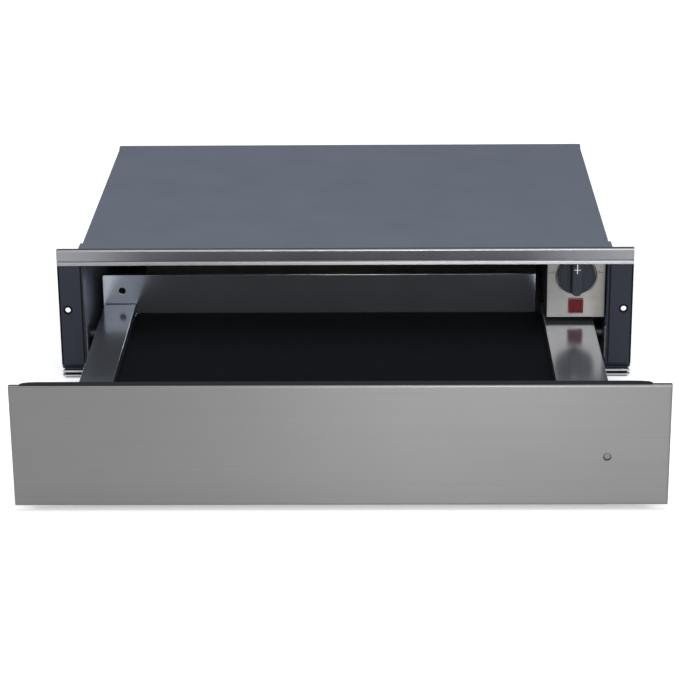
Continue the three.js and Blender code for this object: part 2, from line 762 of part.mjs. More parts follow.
// Board inside the liner, cleared around the light guide.
function panelInsulation() {
  const gap = LINER_WALL + FIT;
  const board = bar(
    roundedPlate(linerHalf - gap, linerBottom + gap, linerTop - gap, LINER_ROUND - LINER_WALL),
    "y",
    linerFront,
    panelBack - gap,
  );
  return cut(
    board,
    round(lensPlace, "y", panelFace, panelBack, LENS_RADIUS + 2 * FIT, 18),
  );
}

const lens = () =>
  round(lensPlace, "y", panelFace - 0.3, panelBack + 0.3, LENS_RADIUS, 18);

// An angle between the side rail's skirt and the liner, below the ledge.
function frontBracket(s) {
  const skirt = skirtSide - SHEET - FIT;
  const z = [skirtBottom + 2, panTop - SHEET - FIT];
  const outline = [
    [skirt, panFront],
    [skirt, panFront + BRACKET[1]],
    [skirt - POST_SHEET, panFront + BRACKET[1]],
    [skirt - POST_SHEET, panFront + POST_SHEET],
    [skirt - BRACKET[0], panFront + POST_SHEET],
    [skirt - BRACKET[0], panFront],
  ];
  return bar(s > 0 ? outline : mirrored(outline), "z", ...z);
}

add(drawer, "tray_pan", pan(), polishedSteel());
add(drawer, "anti_slip_mat", mat(), blackRubber());
add(drawer, "back_plate", backPlate(), polishedSteel());
add(drawer, "front_panel", frontPanel(), brushedSteel());
add(drawer, "front_liner", frontLiner(), darkPlastic());
add(drawer, "panel_insulation", panelInsulation(), finish(0xc9c6b8, 0.8, 0));
add(drawer, "pilot_lens", lens(), finish(0x9aa3ad, 0.1, 0));
for (const { side, s } of SIDES) {
  add(drawer, `side_rail_${side}`, sideRail(s, s > 0 ? LEDGE_RIGHT : LEDGE_LEFT), polishedSteel());
  add(drawer, `front_bracket_${side}`, frontBracket(s), zincSteel());
  const bufferX = s * (linerHalf - LINER_ROUND);
  [panelBottom + BUFFER_INSET, panelTop - BUFFER_INSET].forEach((z, i) =>
    add(
      drawer,
      `buffer_${side}_${["lower", "upper"][i]}`,
      round([bufferX, z], "y", panelBack + 0.1, -FIT, BUFFER_RADIUS, 16),
      blackRubber(),
    ),
  );
}

// ---------------------------------------------------------------- push latch

const latchFront = rearIn - FIT - LATCH.depth;
const latchLow = SHEET + FIT + INSULATION_THICKNESS + LATCH.over;
const latchHigh = panTop - SHEET - LATCH.under;
const latchMiddle = (latchLow + latchHigh) / 2;
const plungerTip = latchFront - PLUNGER_REACH;

const latchBody = () =>
  cut(
    block([-LATCH.width / 2, LATCH.width / 2], [latchFront, rearIn - FIT], [latchLow, latchHigh]),
    round([0, latchMiddle], "y", latchFront - 1, rearIn - FIT - 2, PLUNGER_RADIUS + FIT, 16),
  );

const plunger = () =>
  join(
    round([0, latchMiddle], "y", plungerTip, rearIn - FIT - 2 - PLUNGER_STROKE - FIT, PLUNGER_RADIUS, 16),
    round([0, latchMiddle], "y", plungerTip, plungerTip + 3, PLUNGER_RADIUS * 1.6, 16),
  );

// A bent tab under the pan, which pushes the plunger when the drawer is pressed shut.
function striker() {
  const face = plungerTip - FIT;
  const under = panTop - SHEET - FIT;
  const outline = [
    [face, latchLow + 2],
    [face, under],
    [face - 18, under],
    [face - 18, under - POST_SHEET],
    [face - POST_SHEET, under - POST_SHEET],
    [face - POST_SHEET, latchLow + 2],
  ];
  return bar(outline, "x", -LATCH.width * 0.35, LATCH.width * 0.35);
}

add(housing, "latch_body", latchBody(), darkPlastic());
add(housing, "latch_plunger", plunger(), finish(0xd8d8d4, 0.5, 0));
add(drawer, "latch_striker", striker(), zincSteel());

// ---------------------------------------------------------------- control box

// A folded channel under the cover: left wall, floor, and flanges to the cover and the side.
function controlBox() {
  const end = rearIn - FIT;
  const outline = [
    [controlLeft, controlBottom],
    [controlRight, controlBottom],
    [controlRight, controlBottom + 18],
    [controlRight - SHEET, controlBottom + 18],
    [controlRight - SHEET, boxFloor],
    [controlLeft + SHEET, boxFloor],
    [controlLeft + SHEET, controlTop - SHEET],
    [controlLeft + 12, controlTop - SHEET],
    [controlLeft + 12, controlTop],
    [controlLeft, controlTop],
  ];
  const through = [controlLeft - 1, controlLeft + SHEET + 1];
  const middle = (boxFloor + controlTop) / 2;
  const slots = Array.from({ length: OUTLET.count }, (_, i) => {
    const y = BAFFLE_PLACE + SHEET + OUTLET.space + i * OUTLET.pitch;
    return block(through, [y, y + OUTLET.width], [middle - OUTLET.height / 2, middle + OUTLET.height / 2]);
  });
  // the fan's intake is a row of slots whose ends follow a circle
  const intake = [-2, -1, 0, 1, 2].map((i) => {
    const y = fanY + i * 7;
    const reach = Math.sqrt(INLET_RADIUS ** 2 - (i * 7) ** 2);
    return block(through, [y - 2, y + 2], [fanZ - reach, fanZ + reach]);
  });
  return cut(bar(outline, "y", boxFront, end), ...slots, ...intake);
}

function controlPlate() {
  return cut(
    block([controlLeft, controlRight], [CONTROL_SETBACK, CONTROL_SETBACK + SHEET], [controlBottom, plateTop]),
    round([controlMiddle, knobHeight], "y", CONTROL_SETBACK - 1, boxFront, SPINDLE_RADIUS + 2 * FIT),
    block(
      [controlMiddle - LAMP_STEM / 2 - FIT, controlMiddle + LAMP_STEM / 2 + FIT],
      [CONTROL_SETBACK - 1, boxFront],
      [lampHeight - LAMP_STEM / 2 - FIT, lampHeight + LAMP_STEM / 2 + FIT],
    ),
  );
}

// The knob turns about y through the middle of its own group.
const control = new THREE.Group();
control.position.set(controlMiddle, CONTROL_SETBACK, knobHeight);
housing.add(control);

const knobBack = -FIT;
const knobFace = knobBack - KNOB_SKIRT;
const gripFace = TRIM_SHEET + FIT - CONTROL_SETBACK;
const spindleBore = SPINDLE_RADIUS + FIT;

function knob() {
  const grip = new THREE.Shape();
  const w = KNOB_GRIP / 2;
  const straight = KNOB_RADIUS + KNOB_GRIP_OVER - w;
  grip.moveTo(-w, -straight);
  grip.absarc(0, -straight, w, Math.PI, 2 * Math.PI);
  grip.absarc(0, straight, w, 0, Math.PI);
  return cut(
    join(
      round([0, 0], "y", knobFace, knobBack, KNOB_RADIUS, 40),
      round([0, 0], "y", knobFace - 0.8, knobFace + 1, KNOB_RADIUS - 1.2, 40),
      bar(grip, "y", gripFace, knobFace + 1),
    ),
    round([0, 0], "y", knobFace - 3, knobBack + 1, spindleBore, 12),
  );
}

const thermostatFront = SHEET + 2 * FIT;

// The can has a blind bore for the spindle, two ears towards the plate and two tabs behind.
function thermostat() {
  const [radius, depth] = THERMOSTAT;
  const end = thermostatFront + depth;
  return cut(
    join(
      round([0, 0], "y", thermostatFront, end, radius, 24),
      block([-radius - 6, radius + 6], [thermostatFront, thermostatFront + 1.2], [-4, 4]),
      block([-8, -5], [end - 1, end + 8], [-0.5, 5.5]),
      block([5, 8], [end - 1, end + 8], [-0.5, 5.5]),
    ),
    round([0, 0], "y", thermostatFront - 1, thermostatFront + 12, SPINDLE_RADIUS + FIT, 16),
  );
}

add(housing, "control_box", controlBox(), darkPaint());
add(housing, "control_plate", controlPlate(), brushedSteel());
add(control, "thermostat_knob", knob(), darkPlastic());
add(
  control,
  "knob_spindle",
  round([0, 0], "y", knobFace - 3 + FIT, thermostatFront + 12 - FIT, SPINDLE_RADIUS, 12),
  zincSteel(),
);
add(control, "thermostat_body", thermostat(), finish(0xcfc9b8, 0.6, 0));

// Lamp: a red face whose stem goes through the plate, and the lamp body behind it.
const lampSquare = (size) =>
  rectangle(
    [controlMiddle - size / 2, controlMiddle + size / 2],
    [lampHeight - size / 2, lampHeight + size / 2],
  );
const lampFace = () =>
  join(
    bar(lampSquare(LAMP_SIZE), "y", CONTROL_SETBACK - 0.2 - LAMP_FACE, CONTROL_SETBACK - 0.2),
    bar(lampSquare(LAMP_STEM), "y", CONTROL_SETBACK - 1, boxFront),
  );
function lampBody() {
  const start = boxFront + FIT;
  const end = start + LAMP_BODY_DEPTH;
  const tab = (x) => block([x - 0.4, x + 0.4], [end - 1, end + 7], [lampHeight - 3, lampHeight + 3]);
  return join(
    bar(lampSquare(LAMP_STEM), "y", start, end),
    tab(controlMiddle - 3.5),
    tab(controlMiddle + 3.5),
  );
}
add(housing, "pilot_lamp_face", lampFace(), finish(0xa3262e, 0.25, 0));
add(housing, "pilot_lamp_body", lampBody(), finish(0xe4e2da, 0.6, 0));

// The thermostat's capillary leaves its side and ends in the bulb, clipped along the left wall.
function capillary() {
  const wall = controlLeft + SHEET + BULB[0] + FIT;
  const start = CONTROL_SETBACK + thermostatFront + THERMOSTAT[1] + FIT;
  const bulbStart = BAFFLE_PLACE - BULB[1] * 0.2;
  const { radius, offset, drop, run, bend } = CAPILLARY;
  const low = boxFloor + BULB[0] + bend;
  const left = controlMiddle - offset;
  const curve = new THREE.CatmullRomCurve3([
    new THREE.Vector3(left, start, knobHeight - drop),
    new THREE.Vector3(left, start + run, knobHeight - drop),
    new THREE.Vector3(wall + bend, start + 2.5 * run, knobHeight - 4 * drop),
    new THREE.Vector3(wall, start + 3.75 * run, low + 2 * bend),
    new THREE.Vector3(wall, bulbStart - bend, low),
    new THREE.Vector3(wall, bulbStart + 3 * radius, low),
  ]);
  return join(
    rod(curve, radius, 28, 6),
    round([wall, low], "y", bulbStart, bulbStart + BULB[1], BULB[0], 12),
  );
}
add(housing, "thermostat_bulb", capillary(), finish(0xb87a4b, 0.35, 1));

// A small wall keeps the warm air away from the thermostat; it is notched for the capillary.
function baffle() {
  const notch = 2 * BULB[0] + CAPILLARY.bend;
  const left = controlLeft + SHEET + FIT;
  const right = controlRight - SHEET - FIT;
  const low = boxFloor + FIT;
  const high = plateTop;
  const outline = [
    [left + notch, low],
    [right, low],
    [right, high],
    [left, high],
    [left, low + notch + 2 * CAPILLARY.bend],
    [left + notch, low + notch + 2 * CAPILLARY.bend],
  ];
  return bar(outline, "y", BAFFLE_PLACE, BAFFLE_PLACE + SHEET);
}
add(housing, "air_baffle", baffle(), zincSteel());

// ---------------------------------------------------------------- fan heater

const scrollLeft = controlLeft + SHEET + FIT;
const scrollRight = scrollLeft + SCROLL_WIDTH;

// The element: four straight runs joined by three half turns, both ends at the back.
function heater() {
  const x = (scrollLeft + scrollRight) / 2 + 8;
  const radius = heaterPitch / 2;
  const rear = heaterRear;
  const runEnd = [rear + 8, heaterFront + radius, rear - radius, heaterFront + radius, rear + 8];
  const points = [];
  for (let run = 0; run < HEATER_RUNS; run++) {
    const z = heaterLow + run * heaterPitch;
    const forward = run % 2 === 0;
    const from = forward ? (run === 0 ? runEnd[0] : runEnd[2]) : runEnd[1];
    const to = forward ? runEnd[1] : run === 3 ? runEnd[4] : runEnd[2];
    for (let i = 0; i <= 4; i++) points.push([from + ((to - from) * i) / 4, z]);
    if (run === 3) break;
    for (let i = 1; i < 6; i++) {
      const turn = -Math.PI / 2 + (i / 6) * Math.PI;
      const out = radius * Math.cos(turn) * (forward ? -1 : 1);
      points.push([to + out, z + radius + radius * Math.sin(turn)]);
    }
  }
  const curve = new THREE.CatmullRomCurve3(
    points.map(([y, z]) => new THREE.Vector3(x, y, z)),
    false,
    "centripetal",
  );
  return rod(curve, HEATER_RADIUS, 76, 8);
}

// A sheet with a large window, which holds both ends of the element.
function heaterBracket() {
  const y = heaterRear + BRACKET_SEAT;
  const x = (scrollLeft + scrollRight) / 2 + 8;
  const clear = HEATER_RADIUS + FIT;
  const hole = (z) => round([x, z], "y", y - 1, y + SHEET + 1, clear, 16);
  return cut(
    block(
      [scrollLeft, controlRight - SHEET - FIT],
      [y, y + SHEET],
      [boxFloor + FIT, plateTop],
    ),
    hole(heaterLow),
    hole(heaterHigh),
    block([scrollLeft + 4, controlRight - 8], [y - 1, y + SHEET + 1], [heaterLow + 9, heaterHigh - 9]),
  );
}

// A disc thermostat that cuts the heater off, on the box's floor under the element.
function cutOut() {
  const place = [controlMiddle + 12, heaterFront - 14];
  const z = boxFloor + FIT;
  return join(
    round(place, "z", z, z + 7, 8, 20),
    block([place[0] - 12, place[0] + 12], [place[1] - 3, place[1] + 3], [z, z + 1]),
    block([place[0] - 4.4, place[0] - 3.6], [place[1] - 3, place[1] + 3], [z + 6, z + 13]),
    block([place[0] + 3.6, place[0] + 4.4], [place[1] - 3, place[1] + 3], [z + 6, z + 13]),
  );
}

// The scroll's radius grows steadily round the shaft, up to the duct's roof.
function scrollOutline(offset) {
  const steps = 24;
  return Array.from({ length: steps }, (_, i) => {
    const share = i / (steps - 1);
    const radius = scrollWide - SCROLL_GROWTH * share + offset;
    const turn = Math.PI / 2 - share * 2 * Math.PI * 0.98;
    return [fanY + radius * Math.cos(turn), fanZ + radius * Math.sin(turn)];
  });
}

function scroll() {
  const ductFloor = fanZ + fanRadius * 0.35;
  const mouth = fanY - SCROLL_DUCT;
  const hull = solid(bar(scrollOutline(SCROLL_WALL), "x", scrollLeft, scrollRight)).add(
    solid(
      block(
        [scrollLeft, scrollRight],
        [mouth, fanY],
        [ductFloor - SCROLL_WALL, fanZ + scrollWide + SCROLL_WALL],
      ),
    ),
  );
  const inner = [scrollLeft + SCROLL_WALL, scrollRight - SCROLL_WALL];
  const hollow = solid(bar(scrollOutline(0), "x", ...inner)).add(
    solid(block(inner, [mouth - 1, fanY], [ductFloor, fanZ + scrollWide])),
  );
  return surface(
    hull
      .subtract(hollow)
      .subtract(solid(round(fanPlace, "x", scrollLeft - 1, inner[0] + 1, INLET_RADIUS, 28)))
      .subtract(solid(round(fanPlace, "x", inner[1] - 1, scrollRight + 1, FAN_SHAFT + 3, 16))),
  );
}

// Wheel and shaft turn about x through the middle of their own group.
const fan = new THREE.Group();
fan.position.set(0, fanY, fanZ);
housing.add(fan);

const wheelLeft = scrollLeft + SCROLL_WALL + 1.5;
const wheelRight = scrollRight - SCROLL_WALL - 2;

function wheel() {
  const blades = Array.from({ length: BLADES }, (_, i) =>
    block([wheelLeft, wheelRight], [fanRadius - 7, fanRadius - 0.5], [-0.6, 0.6]).rotateX(
      (i / BLADES) * 2 * Math.PI,
    ),
  );
  return cut(
    join(
      round([0, 0], "x", wheelRight - 1.5, wheelRight, fanRadius, 28),
      round([0, 0], "x", wheelLeft + 6, wheelRight, 6, 16),
      ...blades,
    ),
    round([0, 0], "x", wheelLeft, wheelRight + 1, FAN_SHAFT + FIT, 12),
  );
}

const motorLeft = scrollRight + FIT;
const motorBore = motorLeft + MOTOR[1] * 0.7;

function motor() {
  const [radius, length] = MOTOR;
  const ear = radius + MOTOR_EAR[0];
  return cut(
    join(
      round(fanPlace, "x", motorLeft, motorLeft + length, radius, 24),
      block(
        [motorLeft, motorLeft + 1.2],
        [fanY - ear, fanY + ear],
        [fanZ - MOTOR_EAR[1], fanZ + MOTOR_EAR[1]],
      ),
    ),
    round(fanPlace, "x", motorLeft - 1, motorBore, FAN_SHAFT + FIT, 12),
  );
}

add(housing, "heating_element", heater(), zincSteel());
add(housing, "element_bracket", heaterBracket(), zincSteel());
add(housing, "thermal_cut_out", cutOut(), finish(0xd9d4c4, 0.6, 0));
add(housing, "fan_scroll", scroll(), zincSteel());
add(housing, "fan_motor", motor(), finish(0x4a4d52, 0.5, 0.4));
add(fan, "fan_wheel", wheel(), finish(0x9da1a5, 0.4, 0.8));
add(fan, "fan_shaft", round([0, 0], "x", wheelLeft + 6, motorBore - FIT, FAN_SHAFT, 12), zincSteel());

// ---------------------------------------------------------------- mains connection

function terminalBlock() {
  const x = [controlMiddle - TERMINAL.width / 2, controlMiddle + TERMINAL.width / 2];
  const start = fanY + scrollWide + SCROLL_WALL + TERMINAL.space;
  const y = [start, start + TERMINAL.depth];
  const z = [boxFloor + FIT, boxFloor + FIT + TERMINAL.height];
  const pitch = TERMINAL.width / TERMINAL.wells;
  const wells = [];
  for (let i = 0; i < TERMINAL.wells; i++)
    for (const share of [0.28, 0.72]) {
      const place = [x[0] + (i + 0.5) * pitch, y[0] + TERMINAL.depth * share];
      wells.push(round(place, "z", z[1] - 8, z[1] + 1, 3.2, 12));
    }
  return cut(block(x, y, z), ...wells);
}

// The inlet bush: a threaded barrel through the rear wall, a collar outside and a nut inside.
function gland() {
  const place = [controlMiddle, top - GLAND.drop];
  const inside = rearIn - FIT - 5;
  const outside = rearOut + FIT;
  return cut(
    join(
      round(place, "y", inside, outside + 1, GLAND.radius, 24),
      round(place, "y", outside, outside + GLAND.body / 2, GLAND.collar, 6),
      round(place, "y", outside, outside + GLAND.body, GLAND.radius, 24),
      round(place, "y", inside, rearIn - FIT, GLAND.collar, 6),
    ),
    round(place, "y", inside - 1, outside + GLAND.body + 1, GLAND.bore, 16),
  );
}

add(housing, "terminal_block", terminalBlock(), finish(0xe4e2da, 0.6, 0));
add(housing, "cable_gland", gland(), blackRubber());

export default object;
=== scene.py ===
import json
import math

import bmesh
import bpy
import numpy as np
from bpy.props import FloatProperty, FloatVectorProperty, IntProperty, PointerProperty
from mathutils import Matrix, Vector


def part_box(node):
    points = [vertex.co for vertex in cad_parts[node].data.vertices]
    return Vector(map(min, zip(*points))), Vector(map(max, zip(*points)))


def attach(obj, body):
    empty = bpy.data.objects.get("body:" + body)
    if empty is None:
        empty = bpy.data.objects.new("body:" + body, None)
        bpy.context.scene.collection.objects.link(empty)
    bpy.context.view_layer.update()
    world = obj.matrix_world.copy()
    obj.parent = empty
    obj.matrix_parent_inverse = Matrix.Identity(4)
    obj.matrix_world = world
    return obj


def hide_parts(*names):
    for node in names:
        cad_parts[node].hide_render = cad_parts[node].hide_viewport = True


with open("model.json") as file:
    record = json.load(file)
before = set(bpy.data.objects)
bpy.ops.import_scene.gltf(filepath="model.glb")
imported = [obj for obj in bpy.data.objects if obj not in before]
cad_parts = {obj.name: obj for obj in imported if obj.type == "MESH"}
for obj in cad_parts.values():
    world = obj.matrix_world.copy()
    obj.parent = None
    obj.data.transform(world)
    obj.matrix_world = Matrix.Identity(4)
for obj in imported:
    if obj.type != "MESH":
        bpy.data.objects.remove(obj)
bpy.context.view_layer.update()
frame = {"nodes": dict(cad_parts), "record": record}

bl_info = {
    "name": "Built-in warming drawer",
    "version": (1, 0, 0),
    "blender": (4, 5, 0),
    "location": "3D View > Sidebar > Drawer",
    "description": "Visual pieces of a built-in warming drawer, around its packed solids",
    "category": "Object",
}

MM = 0.001
HAIR = 0.05 * MM  # overlap or gap where a small piece meets what carries it
BODY_OF = {
    node: body for body, nodes in frame["record"]["behaviour"]["bodies"].items() for node in nodes
}
SHEET_EDGE = 0.3 * MM  # usual radius of the edges of a sheet or a small piece
SIDES = {"left": -1, "right": 1}  # and the sign of each side's X


def tint(red, green, blue):
    """A colour given in the 0 to 255 of a screen, as linear values."""
    value = np.array([red, green, blue]) / 255
    linear = np.where(value <= 0.04045, value / 12.92, ((value + 0.055) / 1.055) ** 2.4)
    return tuple(float(v) for v in linear)


def box(node):
    """Lowest and highest corner of a CAD node, as arrays in metres."""
    low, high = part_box(node)
    return np.array(low), np.array(high)


def measures(node):
    """Lowest and highest corner of a CAD node, its middle and half its size."""
    low, high = box(node)
    return low, high, 0.5 * (low + high), 0.5 * (high - low)


# ---- sizes and colours


def number(name, description, default, **more):
    return FloatProperty(name=name, description=description, default=default, **more)


def length(name, description, millimetres):
    return number(name, description, millimetres * MM, min=0.0, unit="LENGTH", precision=5)


def wattage(name, lamp, watts):
    return number(name, f"Power of the {lamp}, in watts", watts, min=0.0)


def turning(name, description, radians):
    return number(name, description, radians, subtype="ANGLE")


def position(name, description, values):
    return FloatVectorProperty(
        name=name, description=description, default=values, subtype="TRANSLATION", size=3,
    )


def colour(name, description, *values):
    return FloatVectorProperty(
        name=name, description=description, default=tint(*values), subtype="COLOR", size=3,
        min=0.0, max=1.0,
    )


class CaseSizes(bpy.types.PropertyGroup):
    sheet_edge: length("Sheet edge", "Radius of the rounded edges of the case's sheet pieces", 0.3)
    trim_bend: length("Trim bend", "Radius of the bend along the top of the trim bar", 1.7)
    trim_lip_edge: length("Trim lip edge", "Radius of the edges of the trim bar's lower lip", 0.45)
    screw_radius: length("Screw head", "Radius of the pan heads on the case", 3.4)
    grommet_radius: length("Grommet", "Outer radius of the rubber ring in each post's hole", 4.9)
    grommet_bore: length("Grommet bore", "Radius of the opening in the rubber ring", 2.8)
    # Width of the near-black strip on each post's outer edge: painted shade where the fold turns
    # away from the light.
    painted_fold_shade: length("Post fold", "Width of the folded strip along each post's outer edge", 1.9)


class DrawerSizes(bpy.types.PropertyGroup):
    panel_bend: length("Panel bend", "Radius of the front panel's folded edges", 1.6)
    panel_corner: length("Panel corner", "Radius of the front panel's four corners", 0.9)
    panel_sheet: length("Panel sheet", "Thickness of the front panel's sheet", 1.0)
    ledge_edge: length("Ledge edge", "Radius of the bends beside the flat ledges", 0.48)
    liner_corner: length("Liner corner", "Radius of the liner's four corners", 8.0)
    lip_height: length("Lip height", "How far the liner's lip stands over the panel's fold", 0.22)
    lip_depth: length("Lip depth", "From the lip's front edge to its back", 10.4)
    lip_taper: length("Lip taper", "Length over which each end of the lip is drawn in", 20.0)
    lip_left: length("Lip's left end", "From the panel's left edge to the lip", 9.5)
    lip_right: length("Lip's right end", "From the panel's right edge to the lip", 17.5)
    liner_wall: length("Liner wall", "Thickness of the liner's moulded wall", 1.6)
    # The dark line along the tab is painted shade of the gap between the tab and the ledge.
    tab_seam: length("Tab seam", "Width of the dark line where the tab meets the ledge", 0.7)
    mat_corner: length("Mat corner", "Radius of the mat's four corners", 5.0)
    mat_edge: length("Mat edge", "Radius of the mat's upper edge", 0.7)
    lens_dome: length("Lens dome", "Height of the pilot lens's dome", 0.11)


class ControlSizes(bpy.types.PropertyGroup):
    knob_edge: length("Knob edge", "Radius of the skirt's rim", 0.8)
    grip_edge: length("Grip edge", "Radius along the top of the knob's grip", 1.5)
    grip_draft: length("Grip draft", "How far the grip's walls lean in", 0.6)
    dial_radius: length("Dial radius", "Radius of the printed arcs round the knob", 22.0)
    dial_bead: length("Dial bead", "Radius of the raised bead round the knob", 20.7)
    print_width: length("Print width", "Width of the printed lines", 0.55)
    lamp_border: length("Lamp border", "Width of the pale border round the red lens", 1.0)
    lamp_cells: IntProperty(
        name="Lamp cells", description="Prisms in each row of the red lens", default=6, min=2,
        max=20,
    )


class FinishColours(bpy.types.PropertyGroup):
    case_steel: colour("Case steel", "Coated blue-grey steel of the case", 90, 97, 109)
    # The case's coated steel, made lighter for the side walls: painted light on them.
    wall_steel: colour("Wall steel", "Coated steel of the case's side walls", 142, 149, 164)
    dark_paint: colour("Dark paint", "Paint of the posts and the control box", 41, 44, 54)
    brushed_steel: colour("Brushed steel", "Front panel", 121, 120, 119)
    polished_steel: colour("Polished steel", "Back plate and pan", 182, 187, 196)
    ledge_steel: colour("Ledge steel", "Flat ledges beside the mat", 142, 146, 155)
    zinc_steel: colour("Zinc-plated steel", "Runners, brackets, inner sheet", 178, 181, 184)
    # The zinc steel, drawn darker on the runners' outer members.
    dark_zinc: colour("Dark zinc", "Outer members of the runners", 74, 76, 80)
    aluminium: colour("Aluminium", "Fan wheel", 205, 206, 208)
    # Also the colour of the black strip of painted shadow under the bottom rail.
    rubber: colour("Rubber", "Mat, buffers and cable gland", 12, 13, 17)
    dark_plastic: colour("Dark plastic", "Liner and latch body", 20, 21, 27)
    knob_plastic: colour("Knob plastic", "Knob", 40, 43, 52)
    pale_plastic: colour("Pale plastic", "Small electrical bodies", 214, 208, 194)
    red_lens: colour("Red lens", "Pilot lamp", 100, 8, 14)
    lamp_edge: colour("Lamp edge", "Border of the pilot lamp", 124, 76, 78)
    frosted_lens: colour("Frosted lens", "Pilot lens in the front panel", 112, 115, 116)
    felt: colour("Felt", "Insulation boards", 176, 170, 152)
    copper: colour("Copper", "Thermostat bulb and its tube", 214, 140, 104)
    motor: colour("Motor steel", "Fan motor", 120, 122, 126)
    print_ink: colour("Print", "Printed lines round the knob", 40, 40, 44)
    # White of the small cross of two strips on the knob's grip.
    white_cross: colour("Pointer", "Pointer mark on the knob", 226, 228, 232)


class StageSettings(bpy.types.PropertyGroup):
    floor_reach: number("Floor reach", "Half the width of the floor", 9.0, min=1.0, unit="LENGTH")
    floor_colour: colour("Floor", "Colour of the floor", 240, 240, 240)
    floor_lift: number("Floor lift", "Light that the floor adds where it is seen", 0.36, min=0.0)
    studio_front: colour("Studio front", "Light of the studio before the object", 232, 234, 238)
    studio_back: colour("Studio back", "Light of the studio behind the object", 110, 114, 122)
    overhead_power: wattage("Overhead", "soft lamp above", 36.0)
    front_power: wattage("Front", "soft lamp at the front right", 5.0)
    fill_power: wattage("Fill", "soft lamp at the front left", 1.0)
    tall_power: wattage("Tall", "tall soft lamp before the panel", 31.0)
    camera_place: position("Camera place", "Where it stands", (0.0388, -2.4457, 0.8738))
    camera_tilt: turning("Camera tilt", "How far the camera looks down", 0.3552141)
    camera_turn: turning("Camera turn", "How far the camera turns to the left", 0.01980623)
    camera_roll: turning("Camera roll", "How far the camera leans", -0.00984392)
    camera_lens: number(
        "Camera lens", "Focal length in millimetres on a 36 mm sensor", 121.5672, min=10.0,
    )


SETTINGS = {
    "case_sizes": CaseSizes,
    "drawer_sizes": DrawerSizes,
    "control_sizes": ControlSizes,
    "finish_colours": FinishColours,
    "stage_settings": StageSettings,
}


# ---- shader groups


def shader_group(name, numbers, outputs):
    """A node group with a vector input, number inputs with their defaults and number outputs; also
    what its nodes read from and write to."""
    tree = bpy.data.node_groups.new(name, "ShaderNodeTree")
    tree.interface.new_socket("Vector", in_out="INPUT", socket_type="NodeSocketVector")
    for label, value in numbers.items():
        socket = tree.interface.new_socket(label, in_out="INPUT", socket_type="NodeSocketFloat")
        socket.default_value = value
    for label in outputs:
        tree.interface.new_socket(label, in_out="OUTPUT", socket_type="NodeSocketFloat")
    read, write = tree.nodes.new("NodeGroupInput"), tree.nodes.new("NodeGroupOutput")
    return tree, read.outputs, write.inputs


def connected(tree, made, links):
    """The node, with each named input set to a value or linked to another node's socket."""
    for key, value in links.items():
        if isinstance(value, bpy.types.NodeSocket):
            tree.links.new(value, made.inputs[key])
        else:
            made.inputs[key].default_value = value
    return made


def node(tree, kind, links=None, **settings):
    """A new node of a kind, with its settings and what its inputs are given."""
    made = tree.nodes.new("ShaderNode" + kind)
    for key, value in settings.items():
        setattr(made, key, value)
    return connected(tree, made, links or {})


def math_node(tree, operation, *values):
    return node(tree, "Math", dict(enumerate(values)), operation=operation).outputs[0]


def product(tree, first, second):
    return math_node(tree, "MULTIPLY", first, second)


def scaled(tree, vector, factor):
    links = {0: vector, "Scale": factor}
    return node(tree, "VectorMath", links, operation="SCALE").outputs[0]


def noise_node(tree, vector, scale, detail=2.0, rough=0.5):
    links = {"Vector": vector, "Scale": scale, "Detail": detail, "Roughness": rough}
    return node(tree, "TexNoise", links).outputs["Fac"]


def mixed_colour(tree, factor, first, second):
    """Colour that goes from the first to the second as the factor goes from 0 to 1."""
    # the mix node's colour sockets share their names with its other kinds, so they go by number
    return node(tree, "Mix", {0: factor, 6: first, 7: second}, data_type="RGBA").outputs[2]


def spread(tree, value, low, high, to_low, to_high):
    """Value mapped from low..high to to_low..to_high, held at both ends."""
    links = {
        "Value": value, "From Min": low, "From Max": high, "To Min": to_low, "To Max": to_high,
    }
    return node(tree, "MapRange", links).outputs["Result"]


def round_one(tree, value, contrast):
    """Noise as a shade that goes from 1 - contrast to 1 + contrast."""
    darkest = math_node(tree, "SUBTRACT", 1.0, contrast)
    lightest = math_node(tree, "ADD", 1.0, contrast)
    return spread(tree, value, 0.3, 0.7, darkest, lightest)


def make_mottling():
    """Broad soft patches: noise of the given size, as a shade round 1."""
    tree, read, write = shader_group("mottling", {"Scale": 8.0, "Contrast": 0.05}, ["Shade"])
    patches = noise_node(tree, read["Vector"], read["Scale"], 3.0, 0.55)
    tree.links.new(round_one(tree, patches, read["Contrast"]), write["Shade"])
    return tree


def make_brushed_grain():
    """Fine lines along X: noise whose coordinates are squeezed along X and stretched across it."""
    tree, read, write = shader_group(
        "brushed_grain", {"Along": 12.0, "Across": 1400.0, "Contrast": 0.06}, ["Shade", "Height"],
    )
    scale = node(
        tree, "CombineXYZ", {"X": read["Along"], "Y": read["Across"], "Z": read["Across"]},
    ).outputs[0]
    stretched = node(
        tree, "VectorMath", {0: read["Vector"], 1: scale}, operation="MULTIPLY",
    ).outputs[0]
    fine = noise_node(tree, stretched, 1.0, 3.0, 0.7)
    broad = noise_node(tree, stretched, 0.17, 2.0, 0.5)
    both = math_node(tree, "ADD", product(tree, fine, 0.6), product(tree, broad, 0.4))
    tree.links.new(round_one(tree, both, read["Contrast"]), write["Shade"])
    tree.links.new(fine, write["Height"])
    return tree


def make_surface_texture():
    """Small bumps of a sprayed or moulded skin: noise at the given pitch, with a finer part."""
    tree, read, write = shader_group("surface_texture", {"Pitch": 0.001}, ["Height"])
    scale = math_node(tree, "DIVIDE", 1.0, read["Pitch"])
    tree.links.new(noise_node(tree, read["Vector"], scale, 2.0, 0.6), write["Height"])
    return tree


